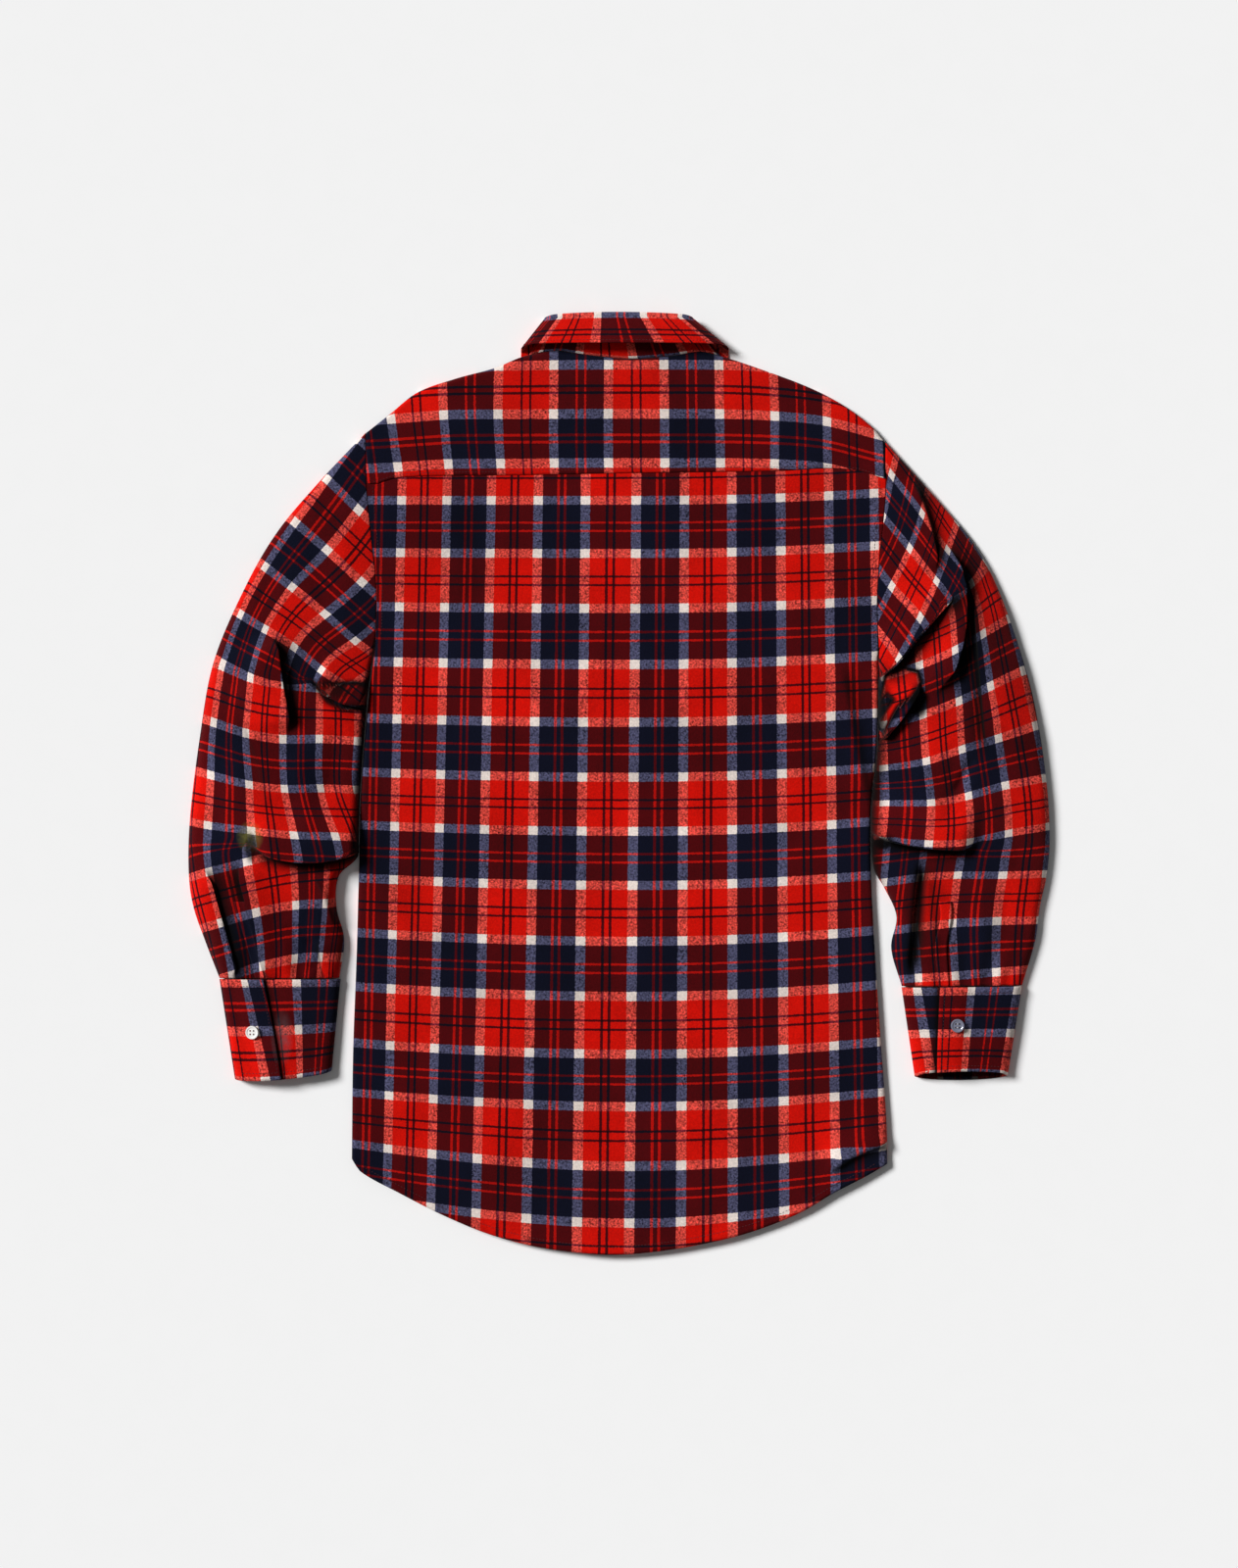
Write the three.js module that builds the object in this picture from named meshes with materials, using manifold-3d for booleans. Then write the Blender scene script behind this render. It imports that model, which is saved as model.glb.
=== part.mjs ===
// A long-sleeved, button-front flannel shirt, laid flat on its front with its back upwards.
// Sizes are millimetres. X runs across the shirt, Y from the hem towards the collar, and Z up from
// the surface that it lies on. The origin is at the middle of the outline, on that surface.

import * as THREE from 'three';
import { mergeVertices } from 'three/addons/utils/BufferGeometryUtils.js';
import Module from 'manifold-3d';

const wasm = await Module();
wasm.setup();

// Cloth and seams
const CLOTH = 1.5;
const SEAM = 0.5;
const BESIDE_GAP = 0.9;
const HEM_STEP = 4;

// Heights of the layers
const FLAT_TOP = 6.6;
const LOWEST_TOP = 5.8;
const CENTRE_RISE = 1.3;
const CENTRE_SPREAD = 60;
const EDGE_HEIGHT = 3.8;
const EDGE_RADIUS = 4;
const SLEEVE_RADIUS = 7;

// Front opening, under the back
const CENTRE_X = 7;
const PLACKET_HALF = 15;
const PLACKET_Z = 2.4;
const UNDERLAP_Z = 4.2;
const UNDERLAP_REACH = 12;
const UNDERLAP_FLAT = 19;
const FRONT_RAMP = 62;

// Shoulder edges are folded from this far inside the side of the neck
const SHOULDER_FOLD = { from: 14, to: 1 };
const SETTLING_ROUNDS = 6;

// Neckline and collar
const NECK = { x: 5, y: 364, halfWidth: 81, depth: 79, lift: 1.95, liftTo: 1.62, fadeTo: 1.95 };
const FOLD = { x: 0, halfWidth: 62, backY: 394.7, sideY: 391, frontDrop: 76, backZ: 12, sideZ: 7 };
const LEAF = {
  edgeY: 371.5, sideDrop: 5, halfWidth: 88, backZ: 22, backLift: 0.45, reach: 14, widen: 2,
  point: 26, pointFrom: 125, spread: 14, ends: 166,
};
const NECK_ANGLES = [0, 18, 35, 52, 68, 78, 85, 90, 92, 94, 99, 108, 120, 135, 150, 158, 166, 176];
const STAND_END = 187;
const ROLL = { back: 3.2, front: 1.65, from: 90, to: 60 };

// Angles round the neck, from the middle of the back, where the collar turns over and where it laps
const COLLAR_TURN = { from: 76, baseTo: 90, foldTo: 92, leafFrom: 70, leafTo: 95 };
const COLLAR_LAP = { from: 150, to: 170 };

// Buttons
const BUTTON = {
  radius: 5.75, thickness: 1.9, dish: 0.5, bevel: 0.8, draft: 0.3, rim: 1.2, well: 2,
  holeRadius: 0.8, holeOffset: 1.5, gap: 0.5,
};
const FRONT_BUTTONS = { count: 6, below: 60, pitch: 92, gap: 0.3, neckX: 5 };

// Sides of the body, left and right as seen from above. The first rows are the armhole seams.
const SIDES = {
  left: [
    { y: 297, x: -214 }, { y: 249, x: -213 }, { y: 207, x: -209 }, { y: 166, x: -205 },
    { y: 124, x: -206 }, { y: 71, x: -212 }, { y: -5, x: -218 }, { y: -74, x: -220 },
    { y: -146, x: -222 }, { y: -229, x: -225 }, { y: -317, x: -226 },
  ],
  right: [
    { y: 289, x: 225 }, { y: 245, x: 225 }, { y: 191, x: 220 }, { y: 154, x: 218 },
    { y: 106, x: 219 }, { y: 56, x: 219 }, { y: 19, x: 217 }, { y: -17, x: 213 },
    { y: -71, x: 213 }, { y: -133, x: 216 }, { y: -212, x: 221 }, { y: -281, x: 226 },
    { y: -321, x: 227 },
  ],
};
const UNDERARM = { left: 120, right: 106 };
const UNDERARM_BLEND = 12;

// Shoulders and the back of the neck, from left to right
const SHOULDER = [
  { x: -214, y: 297 }, { x: -195, y: 312 }, { x: -171, y: 331 }, { x: -138, y: 343 },
  { x: -105, y: 352 }, { x: -80, y: 362 }, { x: -52, y: 366 }, { x: -38, y: 364 },
  { x: -16, y: 361 }, { x: 11, y: 359 }, { x: 47, y: 362 }, { x: 68, y: 365 },
  { x: 86, y: 362 }, { x: 117, y: 352 }, { x: 162, y: 335 }, { x: 192, y: 319 },
  { x: 214, y: 302 }, { x: 225, y: 289 },
];

const YOKE_SEAM = [
  { x: -205, y: 255 }, { x: -188, y: 260 }, { x: -142, y: 262 }, { x: -109, y: 262 },
  { x: 15, y: 264 }, { x: 138, y: 266 }, { x: 173, y: 268 }, { x: 201, y: 266 }, { x: 225, y: 259 },
];

const HEM = [
  { x: -226, y: -317 }, { x: -218, y: -328 }, { x: -187, y: -345 }, { x: -154, y: -362 },
  { x: -117, y: -378 }, { x: -80, y: -389 }, { x: -44, y: -395 }, { x: -5, y: -398 },
  { x: 33, y: -395 }, { x: 75, y: -388 }, { x: 114, y: -378 }, { x: 154, y: -362 },
  { x: 181, y: -346 }, { x: 210, y: -331 }, { x: 227, y: -321 },
];

// Sleeve sections from the armhole to the cuff. clear is the room between the inner edge and the
// side of the body, and rise is how far the sleeve stands above the body.
const SLEEVES = {
  left: [
    { outerX: -214, outerY: 297, clear: 0, innerY: 120, rise: 0 },
    { outerX: -256, outerY: 253, clear: 0, innerY: 100, rise: 3 },
    { outerX: -290, outerY: 212, clear: 0, innerY: 79, rise: 6 },
    { outerX: -317, outerY: 165, clear: 0, innerY: 54, rise: 8 },
    { outerX: -343, outerY: 103, clear: 0, innerY: 12, rise: 9 },
    { outerX: -355, outerY: 37, clear: 0, innerY: -27, rise: 10 },
    { outerX: -363, outerY: -30, clear: 0, innerY: -60, rise: 10 },
    { outerX: -364, outerY: -75, clear: 16, innerY: -78, rise: 9 },
    { outerX: -360, outerY: -104, clear: 17, innerY: -104, rise: 8 },
    { outerX: -350, outerY: -133, clear: 10, innerY: -132, rise: 7 },
    { outerX: -338, outerY: -164, clear: 13, innerY: -164, rise: 5 },
  ],
  right: [
    { outerX: 225, outerY: 289, clear: 0, innerY: 106, rise: 0 },
    { outerX: 273, outerY: 236, clear: 0, innerY: 83, rise: 3 },
    { outerX: 300, outerY: 203, clear: 0, innerY: 62, rise: 6 },
    { outerX: 319, outerY: 169, clear: 0, innerY: 33, rise: 8 },
    { outerX: 337, outerY: 120, clear: 0, innerY: 0, rise: 9 },
    { outerX: 351, outerY: 70, clear: 0, innerY: -29, rise: 10 },
    { outerX: 361, outerY: 8, clear: 0, innerY: -52, rise: 10 },
    { outerX: 364.3, outerY: -42, clear: 2, innerY: -73, rise: 9 },
    { outerX: 362, outerY: -76, clear: 10, innerY: -88, rise: 8 },
    { outerX: 356, outerY: -104, clear: 19, innerY: -112, rise: 7 },
    { outerX: 352, outerY: -133, clear: 13, innerY: -139, rise: 7 },
    { outerX: 341, outerY: -170, clear: 20, innerY: -171, rise: 5 },
  ],
};

// Cuffs: the outer and inner edge at the sleeve seam and at the mouth. lap is where the buttoned
// end lies, as a share of the width from the outer edge, and mouth how far the top layer is drawn
// back there.
const CUFFS = {
  left: {
    seam: { outerX: -338, outerY: -165, innerX: -235.5, innerY: -165, lap: 0.37 },
    end: { outerX: -325, outerY: -249, innerX: -243, innerY: -242, lap: 0.49 },
    rise: 4, mouth: 0, bow: 4, button: { along: 0.53, share: 0.24 },
  },
  right: {
    seam: { outerX: 341, outerY: -171, innerX: 239, innerY: -172, lap: 0.69 },
    end: { outerX: 329, outerY: -246, innerX: 250, innerY: -247, lap: 0.77 },
    rise: 5.5, mouth: 8, bow: 4, button: { along: 0.44, share: 0.55 },
  },
};
const CUFF_OVERLAP = 0.15;
const CUFF_STEP = 1.9;
const CUFF_STEP_REACH = { from: 0.16, to: 0.02 };
const CUFF_TOP = 7.8;

// The largest folds of each panel. Each runs from its first point to its second, bowed to its left,
// and stands high on its left: rise is its height, steep the width of its drop and gentle that of
// its slope. FOLD_FADE is the share of its length in which it rises at each end.
const FOLD_FADE = 0.2;
const FOLDS = {
  sleeveLeft: [
    { x1: -273, y1: 40, x2: -287, y2: 125, bow: 2, rise: 7, steep: 8, gentle: 26 },
    { x1: -260, y1: 86, x2: -205, y2: 65, bow: -8, rise: 6, steep: 8, gentle: 16 },
    { x1: -320, y1: 60, x2: -293, y2: -26, bow: 4, rise: 3, steep: 8, gentle: 20 },
    { x1: -315, y1: -55, x2: -202, y2: -51, bow: -14, rise: 9, steep: 8, gentle: 24 },
    { x1: -317, y1: -176, x2: -348, y2: -65, bow: 0, rise: 5, steep: 8, gentle: 12 },
    { x1: -325, y1: -60, x2: -296, y2: -176, bow: 0, rise: 6, steep: 8, gentle: 14 },
    { x1: -258, y1: -74, x2: -240, y2: -122, bow: 3, rise: 4, steep: 8, gentle: 12 },
  ],
  sleeveRight: [
    { x1: 271, y1: 71, x2: 281, y2: 207, bow: -17, rise: 9, steep: 8, gentle: 15 },
    { x1: 220, y1: 80, x2: 294, y2: 168, bow: 2, rise: 9, steep: 8, gentle: 20 },
    { x1: 217, y1: 31, x2: 258, y2: 88, bow: -4, rise: 8, steep: 8, gentle: 14 },
    { x1: 270, y1: 173, x2: 249, y2: 261, bow: -5, rise: 5, steep: 8, gentle: 18 },
    { x1: 298, y1: 169, x2: 310, y2: 18, bow: 0, rise: 5, steep: 8, gentle: 20 },
    { x1: 206, y1: -43, x2: 306, y2: -56, bow: -5, rise: 9, steep: 8, gentle: 24 },
    { x1: 257, y1: -60, x2: 248, y2: -166, bow: 0, rise: -7, steep: 8, gentle: 8 },
  ],
  back: [
    { x1: -129, y1: 262, x2: -122, y2: 140, bow: 0, rise: -1, steep: 14, gentle: 14 },
    { x1: 190, y1: 130, x2: 186, y2: -60, bow: 0, rise: 1.2, steep: 12, gentle: 16 },
    { x1: 176, y1: -330, x2: 232, y2: -303, bow: 4, rise: 4, steep: 8, gentle: 16 },
  ],
};

const CLOTH_RED = new THREE.MeshStandardMaterial({ color: 0x8a1410, roughness: 0.95, metalness: 0 });
const CLOTH_NAVY = new THREE.MeshStandardMaterial({ color: 0x6f1216, roughness: 0.95, metalness: 0 });
const PEARL = new THREE.MeshStandardMaterial({ color: 0xe8e4dc, roughness: 0.3, metalness: 0 });

const clamp = (value, low, high) => Math.min(Math.max(value, low), high);
const mix = (a, b, share) => a + (b - a) * share;
const radians = (degrees) => (degrees * Math.PI) / 180;

// 0 below the first value, 1 past the second, and smooth between
function ease(from, to, value) {
  const share = clamp((value - from) / (to - from), 0, 1);
  return share * share * (3 - 2 * share);
}

// Equal steps from one value to another, both included
function steps(from, to, count) {
  return Array.from({ length: count + 1 }, (_, i) => mix(from, to, i / count));
}

// A smooth curve through the rows of a table: gives one column for any value of another
function curve(rows, along, column) {
  const rising = [...rows].sort((a, b) => a[along] - b[along]);
  const at = rising.map((row) => row[along]);
  const value = rising.map((row) => row[column]);
  const last = at.length - 1;
  const slope = at.map((_, i) => {
    const before = Math.max(i - 1, 0);
    const after = Math.min(i + 1, last);
    return (value[after] - value[before]) / (at[after] - at[before]);
  });
  return (where) => {
    const place = clamp(where, at[0], at[last]);
    let i = 0;
    while (i < last - 1 && place > at[i + 1]) i += 1;
    const span = at[i + 1] - at[i];
    const s = (place - at[i]) / span;
    const s2 = s * s;
    const s3 = s2 * s;
    return (2 * s3 - 3 * s2 + 1) * value[i] + (s3 - 2 * s2 + s) * span * slope[i]
      + (3 * s2 - 2 * s3) * value[i + 1] + (s3 - s2) * span * slope[i + 1];
  };
}

const sideX = { left: curve(SIDES.left, 'y', 'x'), right: curve(SIDES.right, 'y', 'x') };
const shoulderY = curve(SHOULDER, 'x', 'y');
const yokeSeamY = curve(YOKE_SEAM, 'x', 'y');
const hemY = curve(HEM, 'x', 'y');

// The part of one fold's height that reaches a point
function foldHeight(fold, x, y) {
  const dx = fold.x2 - fold.x1;
  const dy = fold.y2 - fold.y1;
  const length = Math.hypot(dx, dy);
  const along = ((x - fold.x1) * dx + (y - fold.y1) * dy) / (length * length);
  const fade = ease(0, FOLD_FADE, along) * ease(1, 1 - FOLD_FADE, along);
  const left = ((y - fold.y1) * dx - (x - fold.x1) * dy) / length;
  const away = left - fold.bow * 4 * along * (1 - along);
  const width = away > 0 ? fold.gentle : fold.steep;
  return fold.rise * fade * Math.exp(-((away / width) ** 2));
}

// Height of the upper layer's outer face, before its edges turn down
function topHeight(panel, x, y) {
  const centre = CENTRE_RISE * Math.exp(-(((x - CENTRE_X) / CENTRE_SPREAD) ** 2));
  const folds = FOLDS[panel].map((fold) => foldHeight(fold, x, y));
  return FLAT_TOP + centre + Math.max(0, ...folds) + Math.min(0, ...folds);
}

// A strip of cloth that turns round an edge at each end. Places -1 to 0 go round the first edge,
// 0 to 1 lie between, and 1 to 2 go round the second. Gives the distance from the first edge and
// the share of the full height.
function turned(place, width, radius) {
  const turn = place < 0 ? -place : Math.max(place - 1, 0);
  const angle = ((1 - turn) * Math.PI) / 2;
  const reach = radius * (1 - Math.cos(angle));
  const lift = Math.sin(angle);
  if (place < 0) return { at: reach, lift };
  if (place > 1) return { at: width - reach, lift };
  return { at: radius + place * (width - 2 * radius), lift };
}

// A wall of cloth. point(u, v) is on its outer face, and the inner face lies one thickness behind
// it. The outer face looks along u x v, or the other way where facing is -1. A closed wall joins
// its last u to its first. keep moves a point of the inner face that leans over a seam,
// and guide is the way out where the surface leans from it by more than the cosine given.
function wall(us, vs, point, options = {}) {
  const { closed = false, facing = 1, moved = 0, keep = (p) => p, guide, leaning = 0.7 } = options;
  const small = 1e-3;
  const columns = us.length;
  const faces = [[], []];
  for (const v of vs) {
    for (const u of us) {
      const here = point(u, v);
      const alongU = point(Math.min(u + small, closed ? u + small : us.at(-1)), v)
        .sub(point(Math.max(u - small, closed ? u - small : us[0]), v));
      const alongV = point(u, Math.min(v + small, vs.at(-1))).sub(point(u, Math.max(v - small, vs[0])));
      const normal = alongU.cross(alongV).setLength(facing);
      const way = guide ? guide(u, v) : normal;
      if (normal.dot(way) < leaning) normal.copy(way);
      faces[0].push(here.clone().addScaledVector(normal, moved));
      faces[1].push(keep(here.clone().addScaledVector(normal, moved - CLOTH), u));
    }
  }
  const index = [];
  const inner = faces[0].length;
  const quad = (a, b, c, d) => (facing > 0 ? index.push(a, b, c, a, c, d) : index.push(a, c, b, a, d, c));
  const wide = closed ? columns : columns - 1;
  for (let row = 0; row < vs.length - 1; row += 1) {
    for (let i = 0; i < wide; i += 1) {
      const a = row * columns + i;
      const b = row * columns + ((i + 1) % columns);
      quad(a, b, b + columns, a + columns);
      quad(inner + b, inner + a, inner + a + columns, inner + b + columns);
    }
  }
  const end = (vs.length - 1) * columns;
  for (let i = 0; i < wide; i += 1) {
    const j = (i + 1) % columns;
    quad(inner + i, inner + j, j, i);
    quad(end + i, end + j, inner + end + j, inner + end + i);
  }
  for (let row = 0; row < vs.length - 1 && !closed; row += 1) {
    const a = row * columns;
    const b = a + columns - 1;
    quad(a, a + columns, inner + a + columns, inner + a);
    quad(inner + b, inner + b + columns, b + columns, b);
  }
  const geometry = new THREE.BufferGeometry();
  geometry.setAttribute('position', new THREE.Float32BufferAttribute(
    [...faces[0], ...faces[1]].flatMap((p) => [p.x, p.y, p.z]), 3,
  ));
  geometry.setIndex(index);
  geometry.computeVertexNormals();
  return geometry;
}

function solid(geometry) {
  geometry.deleteAttribute('normal');
  geometry.deleteAttribute('uv');
  const merged = mergeVertices(geometry, 1e-4);
  return new wasm.Manifold(new wasm.Mesh({
    numProp: 3,
    vertProperties: merged.attributes.position.array,
    triVerts: new Uint32Array(merged.index.array),
  }));
}

function geometryOf(made) {
  const mesh = made.getMesh();
  const geometry = new THREE.BufferGeometry();
  geometry.setAttribute('position', new THREE.BufferAttribute(mesh.vertProperties, 3));
  geometry.setIndex(new THREE.BufferAttribute(mesh.triVerts, 1));
  geometry.computeVertexNormals();
  return geometry;
}

const shirt = new THREE.Group();

function add(name, geometry, material) {
  const mesh = new THREE.Mesh(geometry, material);
  mesh.name = name;
  shirt.add(mesh);
  return mesh;
}

// How far the side edge at this height is folded: 0 at the armhole seam and 1 below the underarm
function sideFold(side, y) {
  const above = clamp((y - UNDERARM[side]) / UNDERARM_BLEND, 0, 1);
  return 1 - Math.sqrt(1 - (1 - above) ** 2);
}

// A point of a body panel, found from its place across and down. Its sides and its ends depend on
// each other, so the place is settled in a few rounds.
function panelPlace(xOf, topOf, bottomOf, down) {
  let y = mix(topOf(CENTRE_X), bottomOf(CENTRE_X), clamp(down, 0, 1));
  let x = CENTRE_X;
  for (let round = 0; round < SETTLING_ROUNDS; round += 1) {
    x = xOf(y);
    y = mix(topOf(x), bottomOf(x), down);
  }
  return { x, y };
}

function backPoint(u, v) {
  let lift = 1;
  const xOf = (y) => {
    const left = sideX.left(y);
    const place = turned(u, sideX.right(y) - left, EDGE_RADIUS);
    lift = place.lift;
    return left + place.at;
  };
  const { x, y } = panelPlace(xOf, (px) => yokeSeamY(px) - SEAM / 2, hemY, v);
  const fold = sideFold(u < 0.5 ? 'left' : 'right', y);
  const height = Math.max(topHeight('back', x, y), LOWEST_TOP);
  const z = mix(EDGE_HEIGHT, height, 1 - fold * (1 - lift));
  return new THREE.Vector3(x, y, z);
}

// 0 along the back of the neck and 1 at the shoulders, where the edge is folded
function shoulderFold(x) {
  const fromNeck = Math.abs(x - NECK.x);
  return ease(NECK.halfWidth - SHOULDER_FOLD.from, NECK.halfWidth - SHOULDER_FOLD.to, fromNeck);
}

function yokePoint(u, v) {
  let lift = 1;
  const xOf = (y) => mix(sideX.left(y), sideX.right(y), u);
  let x = xOf(300);
  let y = 300;
  for (let round = 0; round < SETTLING_ROUNDS; round += 1) {
    const top = shoulderY(x);
    const place = turned(Math.min(v, 1), top - yokeSeamY(x) - SEAM / 2 + EDGE_RADIUS, EDGE_RADIUS);
    lift = place.lift;
    y = top - place.at;
    x = xOf(y);
  }
  const z = mix(EDGE_HEIGHT, topHeight('back', x, y), 1 - shoulderFold(x) * (1 - lift));
  return new THREE.Vector3(x, y, z);
}

// How far a point lies outside the neckline, where 1 is on it
function neckReach(x, y) {
  return Math.hypot((x - NECK.x) / NECK.halfWidth, Math.min(y - NECK.y, 0) / NECK.depth);
}

function necklineY(x) {
  const share = (x - NECK.x) / NECK.halfWidth;
  return Math.abs(share) < 1 ? NECK.y - NECK.depth * Math.sqrt(1 - share * share) : shoulderY(x);
}

// Height of the fronts' outer face, which is the underside
function frontHeight(side, x, y) {
  const out = side === 'left' ? CENTRE_X - x : x - CENTRE_X;
  const centre = side === 'left'
    ? PLACKET_Z * ease(FRONT_RAMP, PLACKET_HALF, out)
    : UNDERLAP_Z * ease(FRONT_RAMP, UNDERLAP_FLAT, out);
  const neck = NECK.lift * ease(NECK.fadeTo, NECK.liftTo, neckReach(x, y));
  return Math.max(centre, neck);
}

const AWAY = { left: -1, right: 1 };
const NECK_SIDES = { left: NECK.x - NECK.halfWidth, right: NECK.x + NECK.halfWidth };

// Half of the front. u is the distance before the side of the neck where it is under 0, then runs
// to the side of the body (1) and round its edge (2). v runs from round the shoulder edge (-1) down
// to the hem (1).
function frontPoint(side, u, v) {
  const turn = Math.max(u - 1, 0);
  const sideLift = Math.cos((turn * Math.PI) / 2);
  const sideReach = EDGE_RADIUS * (1 - Math.sin((turn * Math.PI) / 2));
  const neckX = u < 0 ? NECK_SIDES[side] - AWAY[side] * -u : NECK_SIDES[side];
  const xOf = (y) => mix(neckX, sideX[side](y) - AWAY[side] * sideReach, clamp(u, 0, 1));
  let topLift = 1;
  let x = xOf(200);
  let y = 200;
  for (let round = 0; round < SETTLING_ROUNDS; round += 1) {
    const top = necklineY(x);
    const place = turned(Math.min(v, 1), top - hemY(x) - HEM_STEP + EDGE_RADIUS, EDGE_RADIUS);
    topLift = place.lift;
    y = top - place.at;
    x = xOf(y);
  }
  const low = frontHeight(side, x, y);
  const edge = EDGE_HEIGHT - SEAM / 2;
  const sideTurn = sideFold(side, y) * (1 - sideLift);
  const topTurn = Math.abs(x - NECK.x) < NECK.halfWidth ? 0 : 1 - topLift;
  const turnedUp = Math.max(sideTurn, topTurn);
  return new THREE.Vector3(x, y, mix(low, edge, turnedUp));
}

// Above the armhole's corner, this share of a sleeve's width eases onto the armhole seam
const SEAM_BLEND = 0.2;

// The share of a sleeve's rise that is left under its deepest creases
const SLEEVE_ROOM = 0.2;

// The section of a sleeve at one place along it
function sleeveSection(side) {
  const rows = SLEEVES[side].map((row, at) => ({ ...row, at }));
  const names = ['outerX', 'outerY', 'clear', 'innerY', 'rise'];
  const [outerX, outerY, clear, innerY, rise] = names.map((name) => curve(rows, 'at', name));
  const away = AWAY[side];
  const last = rows.length - 1;
  return (t) => {
    const at = t * last;
    const y = innerY(at);
    const gap = mix(SEAM, BESIDE_GAP, Math.min(at, 1)) + Math.max(clear(at), 0);
    const outer = new THREE.Vector2(outerX(at) + away * SEAM * Math.max(1 - at, 0), outerY(at));
    const inner = new THREE.Vector2(sideX[side](y) + away * gap, y);
    return { outer, inner, rise: Math.max(rise(at), 0), seamShare: Math.max(1 - at, 0) ** 2 };
  };
}

const sections = { left: sleeveSection('left'), right: sleeveSection('right') };

// A point round a sleeve. q goes round the outer edge (-1 to 0), over the top (0 to 1), round the
// inner edge (1 to 3), back underneath (3 to 4) and up to the outer edge again (4 to 5).
function sleevePoint(side, q, t) {
  const round = q < -1 ? q + 6 : q > 5 ? q - 6 : q;
  const { outer, inner, rise, seamShare } = sections[side](t);
  const width = outer.distanceTo(inner);
  const above = round <= 2;
  const place = turned(above ? round : 4 - round, width, SLEEVE_RADIUS);
  const spot = outer.clone().lerp(inner, place.at / width);
  const share = place.at / width;
  const pull = seamShare * ease(0, SEAM_BLEND, share);
  spot.x += pull * (sideX[side](spot.y) + AWAY[side] * SEAM - spot.x);
  const puff = rise * Math.sqrt(Math.max(4 * share * (1 - share), 0));
  const panel = side === 'left' ? 'sleeveLeft' : 'sleeveRight';
  const height = Math.max(topHeight(panel, spot.x, spot.y) + puff, LOWEST_TOP + SLEEVE_ROOM * puff);
  const z = above ? mix(EDGE_HEIGHT, height, place.lift) : EDGE_HEIGHT * (1 - place.lift);
  return new THREE.Vector3(spot.x, spot.y, z);
}

// The way out of a sleeve's section
function sleeveGuide(side, q, t) {
  const round = q < -1 ? q + 6 : q > 5 ? q - 6 : q;
  const { outer, inner } = sections[side](t);
  const above = round <= 2;
  const place = above ? round : 4 - round;
  const { lift } = turned(place, 1, 0);
  const across = inner.clone().sub(outer).setLength(Math.sqrt(1 - lift * lift) * (place < 0 ? -1 : 1));
  return new THREE.Vector3(across.x, across.y, above ? lift : -lift);
}

// A cuff is a band with its ends lapped on top. Its outline at one place along it:
function cuffLine(side, v) {
  const { seam, end } = CUFFS[side];
  const column = (name) => mix(seam[name], end[name], v);
  const outer = new THREE.Vector2(column('outerX'), column('outerY'));
  const inner = new THREE.Vector2(column('innerX'), column('innerY'));
  const lap = column('lap');
  return { outer, inner, lap, low: lap - CUFF_OVERLAP, edge: SLEEVE_RADIUS / outer.distanceTo(inner) };
}

// q goes from the upper end (0) over the outer edge (1 to 2), underneath (2 to 3), round the inner
// edge (3 to 4) and back on top to the lower end (5).
function cuffSurface(side, q, v) {
  const cuff = CUFFS[side];
  const { outer, inner, lap, low, edge } = cuffLine(side, v);
  const round = q < 2.5 ? clamp(q - 1, 0, 1) : clamp(4 - q, 0, 1);
  const lift = Math.cos(Math.PI * round);
  const inFrom = edge * (1 - Math.sin(Math.PI * round));
  let share = q < 2.5 ? inFrom : 1 - inFrom;
  if (q < 1) share = mix(lap, edge, q);
  if (q > 2 && q < 3) share = mix(edge, 1 - edge, q - 2);
  if (q > 4) share = mix(1 - edge, low, q - 4);
  const spot = outer.clone().lerp(inner, share);
  const bump = Math.sqrt(Math.max(4 * share * (1 - share), 0));
  spot.y += cuff.mouth * v * v * Math.max(lift, 0) * bump - cuff.bow * v * v * bump;
  const step = ease(low - CUFF_STEP_REACH.from, low - CUFF_STEP_REACH.to, share);
  const raised = q < 1 ? CUFF_STEP * step : 0;
  const top = CUFF_TOP + cuff.rise * bump + raised;
  const z = lift > 0 ? mix(CUFF_TOP / 2, top, lift) : (CUFF_TOP / 2) * (1 + lift);
  return new THREE.Vector3(spot.x, spot.y, z);
}

// The collar goes round the neck: 0 degrees is the middle of the back, and 180 the front. It lies on
// the shirt at the back, turns over at the sides, and lies under it at the front.
function collarBase(angle) {
  const s = Math.sin(radians(angle));
  const c = Math.cos(radians(angle));
  const around = Math.abs(angle);
  if (c >= 0) {
    const x = NECK.x + NECK.halfWidth * s;
    const y = shoulderY(x);
    const height = mix(EDGE_HEIGHT, topHeight('back', x, y), 1 - shoulderFold(x));
    const under = ease(COLLAR_TURN.from, COLLAR_TURN.baseTo, around);
    return new THREE.Vector3(x, y + SEAM, mix(height, NECK.lift, under));
  }
  const x = NECK.x + (NECK.halfWidth - SEAM) * s;
  const y = NECK.y + SEAM + (NECK.depth - SEAM) * c;
  const lapZ = angle > 0 ? UNDERLAP_Z : PLACKET_Z;
  return new THREE.Vector3(x, y, mix(NECK.lift, lapZ, ease(COLLAR_LAP.from, COLLAR_LAP.to, around)));
}

function collarFold(angle) {
  const s = Math.sin(radians(angle));
  const c = Math.cos(radians(angle));
  const above = mix(FOLD.sideZ, FOLD.backZ, Math.max(c, 0));
  const under = ease(COLLAR_TURN.from, COLLAR_TURN.foldTo, Math.abs(angle));
  const z = mix(above, collarBase(angle).z, under);
  const y = c > 0 ? mix(FOLD.sideY, FOLD.backY, c) : FOLD.sideY + FOLD.frontDrop * c;
  return new THREE.Vector3(FOLD.x + FOLD.halfWidth * s, y, z);
}

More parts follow.
